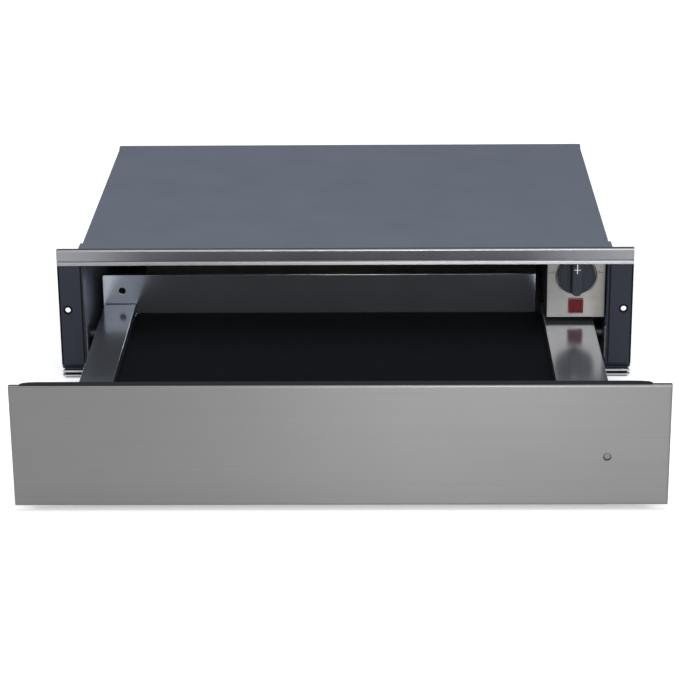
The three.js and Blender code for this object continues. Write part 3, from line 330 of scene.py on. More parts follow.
def make_edge_wear():
    """Rubbed places along the rounded edges, which on plain metals are painted highlights: the
    edge mark, broken up by noise.
    """
    tree, read, write = shader_group(
        "edge_wear", {"Edge": 0.0, "Amount": 0.5, "Scale": 60.0}, ["Mask"],
    )
    patches = noise_node(tree, read["Vector"], read["Scale"], 4.0, 0.65)
    onset = math_node(tree, "SUBTRACT", 0.75, product(tree, read["Amount"], 0.5))
    worn = spread(tree, patches, onset, math_node(tree, "ADD", onset, 0.18), 0.0, 1.0)
    tree.links.new(product(tree, worn, read["Edge"]), write["Mask"])
    return tree


def make_settled_dust():
    """Thin dust on what faces up: the normal's height, times soft noise."""
    tree, read, write = shader_group("settled_dust", {"Amount": 0.1, "Scale": 14.0}, ["Mask"])
    normal = node(tree, "NewGeometry").outputs["Normal"]
    up = node(tree, "SeparateXYZ", {0: normal}).outputs["Z"]
    facing_up = spread(tree, up, 0.5, 1.0, 0.0, 1.0)
    patches = noise_node(tree, read["Vector"], read["Scale"], 5.0, 0.7)
    soft = spread(tree, patches, 0.35, 0.75, 0.2, 1.0)
    amount = product(tree, facing_up, read["Amount"])
    tree.links.new(product(tree, amount, soft), write["Mask"])
    return tree


GROUPS = {}


def make_shader_groups():
    GROUPS.update(
        mottling=make_mottling(), grain=make_brushed_grain(), texture=make_surface_texture(),
        wear=make_edge_wear(), dust=make_settled_dust(),
    )


def grouped(tree, name, links):
    made = tree.nodes.new("ShaderNodeGroup")
    made.node_tree = GROUPS[name]
    return connected(tree, made, links).outputs


# ---- finishes

FINISHES = {}
SLOT_OF = {}
ALONG_X = (0.0, 0.0, 0.0)
ALONG_Y = (0.0, 0.0, math.pi / 2)
DUST_COLOUR, DUST_ROUGHNESS = (0.42, 0.41, 0.39, 1.0), 0.3
SMUDGE_SCALE = 2.7  # of the smudges in the roughness, to the mottling's


def finish(
    name, slot, base, roughness, mottle, metallic=0.0, grain=None, turn=ALONG_X, texture=None,
    wear=None, dust=0.0, rough_range=0.1, specular=0.5, brushed=0.0,
):
    """A material for one of the record's slots: the base colour times broad mottling and fine
    grain, lighter at the rounded edges, which is rubbed paint on painted finishes and a painted
    highlight on plain metals, and dusty on top, with a roughness that follows the mottling and a
    bump from grain and texture. A brushed one spreads its highlights upwards, across the grain.
    Mottle gives scale and contrast; grain the scales along and across, contrast and depth; texture
    pitch and depth; the edge colour the amount and the colour from 0 to 255. Depths are in metres."""
    material = bpy.data.materials.new(name + "_finish")
    material.use_nodes = True
    tree = material.node_tree
    shader = tree.nodes["Principled BSDF"]
    place = node(tree, "TexCoord").outputs["Object"]
    place = node(tree, "Mapping", {"Vector": place, "Rotation": turn}).outputs[0]
    shade = grouped(
        tree, "mottling", {"Vector": place, "Scale": mottle[0], "Contrast": mottle[1]},
    )["Shade"]
    smudge = noise_node(tree, place, mottle[0] * SMUDGE_SCALE, 4.0, 0.6)
    height = None
    if grain:
        along, across, contrast, depth = grain
        lines = grouped(
            tree, "grain",
            {"Vector": place, "Along": along, "Across": across, "Contrast": contrast},
        )
        shade = product(tree, shade, lines["Shade"])
        height = product(tree, lines["Height"], depth)
    if texture:
        pitch, depth = texture
        bumps = grouped(tree, "texture", {"Vector": place, "Pitch": pitch})["Height"]
        bumps = product(tree, bumps, depth)
        height = math_node(tree, "ADD", height, bumps) if height else bumps
    tone = scaled(tree, tuple(base), shade)
    rough = math_node(tree, "MULTIPLY_ADD", smudge, rough_range, roughness - 0.5 * rough_range)
    # Lighter colour on the rounded edges: rubbed paint on painted finishes, a painted highlight on
    # plain metals.
    if wear:
        amount, *rub_and_highlight_tint = wear
        edge = node(tree, "Attribute", attribute_name="worn_edge").outputs["Fac"]
        mask = grouped(tree, "wear", {"Vector": place, "Edge": edge, "Amount": amount})[0]
        tone = mixed_colour(tree, mask, tone, (*tint(*rub_and_highlight_tint), 1.0))
    if dust:
        mask = grouped(tree, "dust", {"Vector": place, "Amount": dust})[0]
        tone = mixed_colour(tree, mask, tone, DUST_COLOUR)
        rough = math_node(tree, "MULTIPLY_ADD", mask, DUST_ROUGHNESS, rough)
    tree.links.new(tone, shader.inputs["Base Color"])
    tree.links.new(rough, shader.inputs["Roughness"])
    if height:
        bump = node(tree, "Bump", {"Height": height, "Strength": 1.0, "Distance": 1.0})
        tree.links.new(bump.outputs[0], shader.inputs["Normal"])
    if brushed:
        shader.inputs["Anisotropic"].default_value = brushed
        upwards = node(tree, "CombineXYZ", {"Z": 1.0}).outputs[0]
        tree.links.new(upwards, shader.inputs["Tangent"])
    shader.inputs["Metallic"].default_value = metallic
    shader.inputs["Specular IOR Level"].default_value = specular
    FINISHES[name], SLOT_OF[name] = material, slot


def make_finishes():
    """Every material of the object, with the slot that it fills."""
    c = bpy.context.scene.finish_colours
    fine_lines = (6.0, 1500.0, 0.05, 0.000008)
    steel = dict(metallic=1.0, rough_range=0.08)
    finish(
        "case_steel", "coated_steel", c.case_steel, 0.46, (11.0, 0.035), texture=(0.0006, 0.000012),
        wear=(0.35, 140, 146, 156), dust=0.05,
    )
    # The case's coated steel, lighter: painted light on the side walls.
    finish(
        "wall_steel", "coated_steel", c.wall_steel, 0.42, (11.0, 0.04), texture=(0.0006, 0.000012),
        wear=(0.35, 150, 156, 166), dust=0.03,
    )
    finish(
        "dark_paint", "dark_paint", c.dark_paint, 0.42, (14.0, 0.05), texture=(0.0007, 0.00002),
        wear=(0.3, 96, 100, 110), dust=0.02, specular=0.2,
    )
    # On the plain metals below, the lighter edge colour is a painted highlight along the rounded
    # edges.
    finish(
        "front_steel", "brushed_steel", c.brushed_steel, 0.36, (3.2, 0.035), grain=fine_lines,
        wear=(0.9, 196, 196, 196), brushed=0.7, **steel,
    )
    finish(
        "trim_steel", "brushed_steel", tint(146, 146, 149), 0.32, (7.0, 0.08), grain=fine_lines,
        wear=(0.9, 222, 222, 222), **steel,
    )
    finish(
        "plate_steel", "brushed_steel", tint(152, 148, 143), 0.36, (16.0, 0.05),
        grain=(10.0, 1700.0, 0.08, 0.00001), wear=(0.9, 206, 206, 204), **steel,
    )
    finish(
        "ledge_steel", "polished_steel", c.ledge_steel, 0.17, (8.0, 0.03), turn=ALONG_Y,
        grain=(5.0, 1300.0, 0.03, 0.0000015), wear=(0.9, 200, 202, 206), metallic=0.85,
        rough_range=0.08,
    )
    finish(
        "back_steel", "polished_steel", c.polished_steel, 0.2, (8.0, 0.03),
        grain=(5.0, 1300.0, 0.03, 0.000003), wear=(0.9, 214, 214, 216), metallic=0.94,
        rough_range=0.08,
    )
    finish(
        "zinc_steel", "zinc_steel", c.zinc_steel, 0.34, (38.0, 0.1), turn=ALONG_Y,
        grain=(30.0, 900.0, 0.04, 0.000004), wear=(0.7, 212, 214, 216), **steel,
    )
    finish(
        "aluminium", "aluminium_wheel", c.aluminium, 0.36, (30.0, 0.05), texture=(0.0012, 0.00001),
        **steel,
    )
    # The zinc steel, drawn darker on the runners' outer members.
    finish(
        "dark_zinc", "zinc_steel", c.dark_zinc, 0.45, (38.0, 0.1), turn=ALONG_Y,
        grain=(30.0, 900.0, 0.04, 0.000004), wear=(0.5, 150, 152, 156), **steel,
    )
    finish(
        "motor_steel", "motor_steel", c.motor, 0.42, (30.0, 0.07), texture=(0.0009, 0.000012),
        **steel,
    )
    finish("copper", "copper", c.copper, 0.3, (60.0, 0.12), **steel)
    # Near-black: the rubber rings in the posts' holes, and the strips of painted shade on the posts
    # and along the back plate's tab.
    finish(
        "post_edge", "dark_paint", tint(8, 8, 11), 0.5, (14.0, 0.04), texture=(0.0007, 0.00002),
        specular=0.1,
    )
    finish(
        "mat_rubber", "black_rubber", c.rubber, 0.9, (20.0, 0.08), texture=(0.0011, 0.00014),
        specular=0.08,
    )
    # Rubber of the buffers, the rail's seal and the gland; also the black strip of painted shadow
    # under the bottom rail.
    finish(
        "buffer_rubber", "black_rubber", c.rubber, 0.66, (60.0, 0.08), texture=(0.0008, 0.00003),
        specular=0.15,
    )
    finish(
        "dark_plastic", "dark_plastic", c.dark_plastic, 0.42, (18.0, 0.05),
        texture=(0.0007, 0.00003), wear=(0.3, 74, 76, 84), specular=0.3,
    )
    finish(
        "knob_plastic", "dark_plastic", c.knob_plastic, 0.36, (50.0, 0.04),
        texture=(0.0005, 0.000012), wear=(0.5, 92, 95, 104), specular=0.3,
    )
    finish(
        "pale_plastic", "pale_plastic", c.pale_plastic, 0.44, (50.0, 0.04),
        texture=(0.0008, 0.00002),
    )
    finish(
        "felt", "insulation_felt", c.felt, 0.95, (45.0, 0.12), texture=(0.0016, 0.0004),
        specular=0.2,
    )
    finish("red_lens", "red_lens", c.red_lens, 0.26, (420.0, 0.3), specular=0.22, rough_range=0.08)
    finish("lamp_edge", "red_lens", c.lamp_edge, 0.3, (200.0, 0.06), rough_range=0.08, specular=0.3)
    finish("frosted_lens", "smoked_lens", c.frosted_lens, 0.24, (300.0, 0.08), rough_range=0.05)
    finish("print_ink", "dark_plastic", c.print_ink, 0.6, (400.0, 0.1))
    finish("pointer_ink", "pale_plastic", c.white_cross, 0.5, (400.0, 0.05))


# ---- shapes


def rounded_outline(corners, radius, steps=5):
    """Each corner C gives way to the curve (1-t)^2 A + 2t(1-t) C + t^2 B, where A and B lie its
    radius back along the two sides that meet there."""
    corner = np.asarray(corners, float)
    reach = np.broadcast_to(np.asarray(radius, float), len(corner))[:, None]
    back, on = np.roll(corner, 1, 0) - corner, np.roll(corner, -1, 0) - corner
    a = corner + back / np.linalg.norm(back, axis=1, keepdims=True) * reach
    b = corner + on / np.linalg.norm(on, axis=1, keepdims=True) * reach
    t = np.linspace(0, 1, steps)[None, :, None]
    curve = (1 - t) ** 2 * a[:, None] + 2 * t * (1 - t) * corner[:, None] + t**2 * b[:, None]
    return curve.reshape(-1, 2)


def rounded_rectangles(half, corner, insets, steps=6):
    """One loop for each inset: the corner's centre plus (corner radius - inset) times the point of
    the unit circle at each angle; where the inset is past the radius the centre moves in too."""
    angle = (np.arange(4)[:, None] * math.pi / 2 + np.linspace(0, math.pi / 2, steps)).ravel()
    sign = np.repeat(np.array([[1, 1], [-1, 1], [-1, -1], [1, -1]], float), steps, axis=0)
    inset = np.asarray(insets, float)[:, None, None]
    least = 1e-5
    radius = np.maximum(corner - inset, least)
    centre = np.asarray(half, float) - inset - radius
    circle = np.stack([np.cos(angle), np.sin(angle)], -1)
    return sign[None] * centre + radius * circle[None]


def bend(radius, steps=6):
    """Quarter circle from flat to upright: inset radius (1 - sin a), depth radius (1 - cos a)."""
    a = np.linspace(0, math.pi / 2, steps)
    return radius * (1 - np.sin(a)), radius * (1 - np.cos(a))


def in_space(u, v, w, axis):
    """Points whose w lies along the axis, x, y or z, and whose u and v lie across it."""
    order = [u, v]
    order.insert("xyz".index(axis), np.broadcast_to(w, u.shape))
    return np.stack(order, -1)


def placed(loops, depths, axis="y"):
    """Flat loops, each at its own depth along the axis."""
    loops = np.asarray(loops, float)
    return in_space(loops[..., 0], loops[..., 1], np.asarray(depths, float)[:, None], axis)


def circles(radii, depths, centre, axis, around):
    """At each profile point a circle of its radius, at its depth along the axis from the centre."""
    angle = np.linspace(0, 2 * math.pi, around, endpoint=False)
    radius, depth = np.asarray(radii, float)[:, None], np.asarray(depths, float)[:, None]
    return in_space(radius * np.cos(angle), radius * np.sin(angle), depth, axis) + centre


def tube_faces(rings, around):
    """Quads between neighbouring rings of points, each ring closed on itself."""
    ring, point = np.meshgrid(np.arange(rings - 1), np.arange(around), indexing="ij")
    here, on = ring * around + point, ring * around + (point + 1) % around
    return np.stack([here, on, on + around, here + around], -1).reshape(-1, 4)


def grid_faces(rows, columns):
    """Quads of an open grid."""
    row, column = np.meshgrid(np.arange(rows - 1), np.arange(columns - 1), indexing="ij")
    corner = row * columns + column
    return np.stack([corner, corner + 1, corner + columns + 1, corner + columns], -1).reshape(-1, 4)


def built(name, points, faces, material, sharp=40.0, weighted=True):
    """A mesh object at the origin from points in metres and faces; its normals point outwards, and
    edges over the sharp angle, in degrees, stay crisp."""
    mesh = bpy.data.meshes.new(name)
    mesh.from_pydata(np.asarray(points, float).reshape(-1, 3).tolist(), [], faces)
    form = bmesh.new()
    form.from_mesh(mesh)
    bmesh.ops.remove_doubles(form, verts=form.verts, dist=1e-7)
    bmesh.ops.recalc_face_normals(form, faces=form.faces)
    shade_by_angle(form, sharp)
    form.to_mesh(mesh)
    form.free()
    return linked(name, mesh, material, weighted)


def shade_by_angle(form, sharp):
    """Smooth faces, with crisp edges where two of them meet at more than the angle."""
    for face in form.faces:
        face.smooth = True
    limit = math.radians(sharp)
    for edge in form.edges:
        edge.smooth = edge.calc_face_angle(0.0) < limit


def linked(name, mesh, material, weighted):
    """The mesh as an object of the scene, with its finish."""
    mesh.materials.append(FINISHES[material])
    made = bpy.data.objects.new(name, mesh)
    bpy.context.scene.collection.objects.link(made)
    if weighted:
        normals = made.modifiers.new("flat faces stay flat", "WEIGHTED_NORMAL")
        normals.keep_sharp = True
    return made


def capped_tube(name, rings, material, **shading):
    """Rings of points, shape (rings, around, 3), joined by quads, with a face at each end."""
    count, around = rings.shape[:2]
    faces = tube_faces(count, around).tolist()
    faces.append(list(range(around))[::-1])
    faces.append(list(range((count - 1) * around, count * around)))
    return built(name, rings, faces, material, **shading)


def bar(name, outline, ends, material, axis="x", **shading):
    """A closed outline, given across the axis, carried along it from one end to the other."""
    return capped_tube(name, placed([outline, outline], ends, axis), material, **shading)


def lofted(name, half, corner, insets, depths, centre, material, axis="y", steps=6, sharp=50):
    """A closed piece through loops of one rounded rectangle, each with its inset and its depth
    along the axis."""
    loops = rounded_rectangles(half, corner, insets, steps)
    return capped_tube(name, placed(loops, depths, axis) + centre, material, sharp=sharp)


def turned(name, radii, depths, centre, material, axis="y", around=48):
    """A surface of revolution: the circles of its profile, closed at both ends."""
    return capped_tube(name, circles(radii, depths, centre, axis, around), material)


def ring(name, radii, depths, centre, material, around=40):
    """A surface of revolution about Y whose profile is a closed loop, so its middle is open."""
    faces = tube_faces(len(radii) + 1, around) % (len(radii) * around)
    return built(name, circles(radii, depths, centre, "y", around), faces.tolist(), material)


def strip(name, path, width, depths, material):
    """A flat strip along a path in X and Z: each point moves half the width to both sides along
    its normal, between two depths in Y."""
    path = np.asarray(path, float)
    along = np.gradient(path, axis=0)
    along /= np.linalg.norm(along, axis=1, keepdims=True)
    across = np.stack([-along[:, 1], along[:, 0]], -1) * width / 2
    one, other, (near, far) = path + across, path - across, depths
    edges = placed([one, other, other, one], [near, near, far, far])
    return capped_tube(name, edges.swapaxes(0, 1), material, sharp=50, weighted=False)


def softened(node_name, material, radius=SHEET_EDGE, segments=2, sharp=32.0):
    """A copy of a CAD node with its doubles merged, its flat faces joined and its sharp edges
    rounded. The rounded strips carry the edge mark for rubbed paint and painted edge highlights."""
    form = bmesh.new()
    form.from_mesh(frame["nodes"][node_name].data)
    bmesh.ops.remove_doubles(form, verts=form.verts, dist=2e-6)
    mark = form.loops.layers.float.new("worn_edge")
    strips = []
    if radius:
        bmesh.ops.dissolve_limit(
            form, angle_limit=math.radians(1.0), verts=form.verts, edges=form.edges,
        )
        edges = [e for e in form.edges if e.calc_face_angle(0.0) > math.radians(sharp)]
        strips = bmesh.ops.bevel(
            form, geom=edges, offset=radius, segments=segments, profile=0.5, affect="EDGES",
            clamp_overlap=True,
        )["faces"]
    shade_by_angle(form, sharp)
    rounded = set(strips)
    for face in rounded:
        for corner in face.loops:
            corner[mark] = 1.0
        for edge in face.edges:
            if any(other not in rounded for other in edge.link_faces):
                edge.smooth = False
    mesh = bpy.data.meshes.new(node_name + "_formed")
    form.to_mesh(mesh)
    form.free()
    stands_for(linked(mesh.name, mesh, material, False), node_name)


def stands_for(piece, node):
    """The piece replaces a CAD node and rides on its body."""
    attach(piece, BODY_OF[node])
    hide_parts(node)


class MakesPieces:
    """What every operator shares: it calls its own make, and an error there stops the script."""

    bl_options = {"REGISTER", "UNDO"}

    def execute(self, context):
        self.make(context.scene)
        return {"FINISHED"}


# ---- stage

FLOOR_LEVEL = -0.4 * MM
LAMPS = {  # width and height, place, and the point that it faces, in metres
    "overhead": ((2.6, 2.4), (0.0, -0.1, 2.3), (0, 0, 0)),
    "front": ((1.3, 0.9), (1.15, -2.5, 1.25), (0, -0.3, 0.1)),
    "fill": ((1.2, 1.2), (-1.7, -2.1, 1.1), (0, -0.3, 0.1)),
    "tall": ((0.6, 1.6), (0.27, -3.3, 0.85), (0.1, -0.5, 0.1)),
}


class DRAWER_OT_stage(MakesPieces, bpy.types.Operator):
    """Set up the floor, the soft lamps, the surroundings and the camera"""

    bl_idname = "warming_drawer.stage"
    bl_label = "Stage"

    def make(self, scene):
        settings = scene.stage_settings
        self.floor(settings)
        self.surroundings(scene, settings)
        for name, (size, place, target) in LAMPS.items():
            self.lamp(name + "_lamp", getattr(settings, name + "_power"), size, place, target)
        self.camera(scene, settings)
        scene.view_settings.view_transform = "Standard"

    def floor(self, settings):
        """A square of faintly mottled paper, lit up a little where it is seen or mirrored."""
        reach = settings.floor_reach
        signs = ((-1, -1), (1, -1), (1, 1), (-1, 1))
        mesh = bpy.data.meshes.new("floor")
        mesh.from_pydata([(x * reach, y * reach, FLOOR_LEVEL) for x, y in signs], [], [range(4)])
        floor = bpy.data.objects.new("floor", mesh)
        bpy.context.scene.collection.objects.link(floor)
        material = bpy.data.materials.new("floor_paper")
        material.use_nodes = True
        tree = material.node_tree
        tree.nodes.remove(tree.nodes["Principled BSDF"])
        place = node(tree, "TexCoord").outputs["Object"]
        shade = spread(tree, noise_node(tree, place, 1.3, 3.0, 0.5), 0.3, 0.7, 0.99, 1.0)
        tone = scaled(tree, tuple(settings.floor_colour), shade)
        paper = node(tree, "BsdfDiffuse", {"Color": tone}).outputs[0]
        rays = node(tree, "LightPath").outputs
        seen = math_node(tree, "MAXIMUM", rays["Is Camera Ray"], rays["Is Glossy Ray"])
        seen = math_node(tree, "MAXIMUM", seen, rays["Is Transmission Ray"])
        lift = product(tree, seen, settings.floor_lift)
        glow = node(tree, "Emission", {"Color": (1, 1, 1, 1), "Strength": lift}).outputs[0]
        both = node(tree, "AddShader", {0: paper, 1: glow}).outputs[0]
        tree.links.new(both, tree.nodes["Material Output"].inputs["Surface"])
        mesh.materials.append(material)

    def surroundings(self, scene, settings):
        """A soft change of light with direction: from the front's colour to the back's as the Y of
        the direction goes from one bound to the other."""
        world = bpy.data.worlds.new("studio")
        world.use_nodes = True
        tree = world.node_tree
        toward = node(tree, "TexCoord").outputs["Generated"]
        depth = node(tree, "SeparateXYZ", {0: toward}).outputs["Y"]
        share = spread(tree, depth, -0.7, 0.6, 0.0, 1.0)
        front, back = (*settings.studio_front, 1.0), (*settings.studio_back, 1.0)
        tree.links.new(
            mixed_colour(tree, share, front, back), tree.nodes["Background"].inputs["Color"],
        )
        scene.world = world

    def lamp(self, name, power, size, place, target):
        light = bpy.data.lights.new(name, "AREA")
        light.shape = "RECTANGLE"
        light.size, light.size_y = size
        light.energy = power
        lamp = bpy.data.objects.new(name, light)
        lamp.location = place
        lamp.rotation_euler = (Vector(target) - Vector(place)).to_track_quat("-Z", "Y").to_euler()
        lamp.visible_camera = False
        bpy.context.scene.collection.objects.link(lamp)

    def camera(self, scene, settings):
        camera = bpy.data.objects.new("camera", bpy.data.cameras.new("camera"))
        camera.data.lens = settings.camera_lens
        turn = Matrix.Rotation(settings.camera_turn, 4, "Z")
        tilt = Matrix.Rotation(math.pi / 2 - settings.camera_tilt, 4, "X")
        roll = Matrix.Rotation(settings.camera_roll, 4, "Z")
        camera.matrix_world = Matrix.Translation(settings.camera_place) @ turn @ tilt @ roll
        scene.collection.objects.link(camera)
        scene.camera = camera


# ---- case


class DRAWER_OT_case(MakesPieces, bpy.types.Operator):
    """Make the case's folded sheets: top cover, side walls, rear wall and bottom plate"""

    bl_idname = "warming_drawer.case"
    bl_label = "Case"

    def make(self, scene):
        edge = scene.case_sizes.sheet_edge
        for name in ("top_cover", "rear_wall", "bottom_plate"):
            softened(name, "case_steel", edge)
        for side in SIDES:
            softened("side_wall_" + side, "wall_steel", edge)
        softened("base_insulation", "felt", 1.5 * MM)


HOLE_ACROSS, HOLE_HEIGHT = 288.3 * MM, 75.0 * MM  # middle of each post's fixing hole
FOOT_FOLD = 7.0 * MM  # height of the sloped fold at a post's foot


class DRAWER_OT_posts(MakesPieces, bpy.types.Operator):
    """Make the two painted posts with their fixing holes and sloped feet"""

    bl_idname = "warming_drawer.posts"
    bl_label = "Front posts"

    def make(self, scene):
        sizes = scene.case_sizes
        for side, sign in SIDES.items():
            softened("post_" + side, "dark_paint", sizes.sheet_edge)
            low, high = box("post_" + side)
            span = low[1], low[2] + FOOT_FOLD, high[2] - HAIR
            inner, outer = sorted((abs(low[0]), abs(high[0])))
            self.grommet(side, (sign * HOLE_ACROSS, low[1], HOLE_HEIGHT), sizes)
            bands = {
                # near-black strip on the outer edge: painted shade of the fold that turns away from
                # the light
                "post_fold_": (outer - sizes.painted_fold_shade, outer - HAIR, 0.12 * MM, "post_edge"),
                "post_hem_": (inner + 0.1 * MM, inner + 1.5 * MM, 0.2 * MM, "dark_paint"),
                # flush near-black strip beside the hem: painted shadow of a groove
                "post_groove_": (inner + 1.6 * MM, inner + 3.3 * MM, 0.06 * MM, "post_edge"),
            }
            for name, (start, end, proud, material) in bands.items():
                self.band(name + side, sorted((sign * start, sign * end)), span, proud, material)

    def band(self, name, across, span, proud, material):
        """A low strip up the post's face: an outline with rounded edges, carried from the foot to
        the top."""
        face, foot, top = span
        (left, right), back = across, face + 0.3 * MM
        outline = rounded_outline(
            [(left, back), (left, face - proud), (right, face - proud), (right, back)],
            [0.01 * MM, 0.9 * proud, 0.9 * proud, 0.01 * MM],
        )
        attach(bar(name, outline, (foot, top), material, axis="z"), "housing")

    def grommet(self, side, centre, sizes):
        """Turned ring: a flat flange on the face and a neck through the hole."""
        bore, rim = sizes.grommet_bore, sizes.grommet_radius
        neck = bore + 0.35 * MM
        radii = [bore, bore + 0.2 * MM, rim - 0.2 * MM, rim, rim, neck, neck, bore]
        depths = np.array([-0.05, -0.25, -0.25, -0.05, 0.02, 0.02, 1.2, 1.2]) * MM
        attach(ring("post_grommet_" + side, radii, depths, centre, "post_edge"), "housing")


class DRAWER_OT_trim(MakesPieces, bpy.types.Operator):
    """Make the bent trim bar across the top of the front"""

    bl_idname = "warming_drawer.trim"
    bl_label = "Trim bar"

    def make(self, scene):
        sizes = scene.case_sizes
        low, high = box("front_trim")
        face, foot, top = low[1] + 1.0 * MM, low[2], high[2]
        crease, sheet = foot + 3.6 * MM, 1.6 * MM
        bend_radius, lip = sizes.trim_bend, sizes.trim_lip_edge
        outline = rounded_outline(
            [
                (face, top), (face, crease + 1.3 * MM), (face + 0.8 * MM, crease + 0.5 * MM),
                (low[1] + 0.5 * MM, crease - 0.1 * MM), (low[1], foot), (face + sheet, foot),
                (face + sheet, top - 1.0 * MM), (high[1], top - 1.0 * MM), (high[1], top),
            ],
            [bend_radius, lip, 0.3 * MM, lip, lip, lip, 0.3 * MM, 0.3 * MM, 0.3 * MM],
        )
        piece = bar("front_trim_formed", outline, (low[0], high[0]), "trim_steel", sharp=50)
        stands_for(piece, "front_trim")


class DRAWER_OT_bottom_rail(MakesPieces, bpy.types.Operator):
    """Make the zinc-plated channel across the foot of the front, with a rubber seal in it and a
    black strip of painted shadow under it
    """

    bl_idname = "warming_drawer.bottom_rail"
    bl_label = "Bottom rail"

    def make(self, scene):
        softened("bottom_rail", "zinc_steel", scene.case_sizes.sheet_edge)
        low, high = box("bottom_rail")
        lip, half = 1.3 * MM, high[0] - 3.4 * MM
        self.seal("rail_seal", low[1] + 0.5 * MM, high[1] - lip, low[2] + lip, high[2] - lip, half)
        # A black strip under the rail, down to the floor: painted shadow where the rail meets the
        # floor.
        self.seal("rail_foot", low[1] + 0.3 * MM, high[1] - 0.5 * MM, 0.15 * MM, low[2], half)

    def seal(self, name, front, back, foot, top, half):
        """A strip with a rounded front edge, carried along the rail."""
        outline = rounded_outline(
            [(front, foot), (back, foot), (back, top), (front, top)],
            np.array([0.4, 0.05, 0.05, 0.4]) * (top - foot),
        )
        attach(bar(name, outline, (-half, half), "buffer_rubber"), "housing")


def pan_head(name, centre, axis, sign, radius):
    """A pan head with a cross recess: height h(r) falls as a flat dome towards the rim, less the
    recess's depth where the point is within half a slot's width of either arm."""
    rings, around = 13, 32
    r = np.linspace(0.04, 1.0, rings)[:, None] * radius
    angle = np.linspace(0, 2 * math.pi, around, endpoint=False)[None]
    u, v = r * np.cos(angle), r * np.sin(angle)
    tall = 0.62 * radius
    dome = tall * (1 - (r / radius) ** 6 * 0.75)
    arm, reach, slot = 0.12 * radius, 0.55 * radius, 0.42 * radius
    near = np.minimum(np.abs(u), np.abs(v))
    cut = np.clip((arm * 1.9 - near) / arm, 0, 1) * np.clip((reach - r) / (0.2 * radius), 0, 1)
    height = np.concatenate([dome - slot * cut, np.zeros((1, around))])
    u, v = np.concatenate([u, u[-1:]]), np.concatenate([v, v[-1:]])
    points = in_space(u, v, sign * height, axis) + centre
    return capped_tube(name, points, "zinc_steel", sharp=55)


COVER_SCREWS = (-0.225, -0.075, 0.075, 0.225)  # X of the screws in the top's skirt
REAR_LEVELS, REAR_MARGIN = {"lower": 0.022, "upper": 0.104}, 0.012  # Z, and from the sides


class DRAWER_OT_case_screws(MakesPieces, bpy.types.Operator):
    """Make the pan-head screws that hold the case together"""

    bl_idname = "warming_drawer.case_screws"
    bl_label = "Case screws"

    def make(self, scene):
        radius = scene.case_sizes.screw_radius
        _, high, middle, _ = measures("top_cover")
        for count, x in enumerate(COVER_SCREWS, 1):
            place = x, high[1], middle[2]
            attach(pan_head(f"cover_screw_{count}", place, "y", 1, 0.8 * radius), "housing")
        high = box("rear_wall")[1]
        for side, sign in SIDES.items():
            for level, z in REAR_LEVELS.items():
                place = sign * (high[0] - REAR_MARGIN), high[1], z
                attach(pan_head(f"rear_screw_{side}_{level}", place, "y", 1, radius), "housing")


class DRAWER_OT_runners(MakesPieces, bpy.types.Operator):
    """Make the ball-bearing runners: three members, two cages and two screws a side"""

    bl_idname = "warming_drawer.runners"
    bl_label = "Runners"

    def make(self, scene):
        edge = scene.case_sizes.sheet_edge
        for side, sign in SIDES.items():
            softened("runner_outer_" + side, "dark_zinc", edge)
            for member in ("middle", "inner"):
                softened(f"runner_{member}_{side}", "zinc_steel", edge)
            self.wall_strip(side, sign)
            for cage in ("outer", "inner"):
                softened(f"ball_cage_{cage}_{side}", "zinc_steel", 0, sharp=40)
            for end in ("front", "rear"):
                self.screw(f"runner_screw_{side}_{end}", sign)

    def wall_strip(self, side, sign):
        """A thin plate with rounded corners flat on the side wall, at the runner's front end."""
        low, high, centre, half = measures("runner_outer_" + side)
        screw = measures(f"runner_screw_{side}_front")[2]
        into_wall, before_runner, before_screw = 0.25 * MM, 0.5 * MM, 7.5 * MM
        wall = max(abs(low[0]), abs(high[0])) + into_wall
        front, back = low[1] - before_runner, screw[1] - before_screw
        thick, edge, corner = 1.7 * MM, 0.15 * MM, 1.6 * MM
        x = sign * (wall - np.array([thick, thick - edge, edge, 0.0]))
        plate = lofted(
            "runner_wall_strip_" + side, (0.5 * (back - front), half[2]), corner,
            [edge, 0.0, 0.0, edge], x, (0, 0.5 * (front + back), centre[2]), "zinc_steel",
            axis="x", sharp=40,
        )
        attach(plate, "housing")

    def screw(self, name, sign):
        """A pan head on the runner, and a turned shank with a tapered tip in the wall."""
        low, high, middle, _ = measures(name)
        tip, outer = sorted((abs(low[0]), abs(high[0])))
        head_height, taper = 2.2 * MM, 0.7 * MM
        under_head = outer - head_height
        axis = middle * (0, 1, 1)
        head = pan_head(name + "_head", axis + (sign * under_head, 0, 0), "x", sign, 3.5 * MM)
        stands_for(head, name)
        shank = turned(
            name + "_shank", np.array([1.2, 1.9, 1.9]) * MM,
            sign * np.array([tip, tip + taper, under_head + 0.3 * MM]), axis, "zinc_steel",
            axis="x", around=20,
        )
        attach(shank, "housing")


# ---- drawer


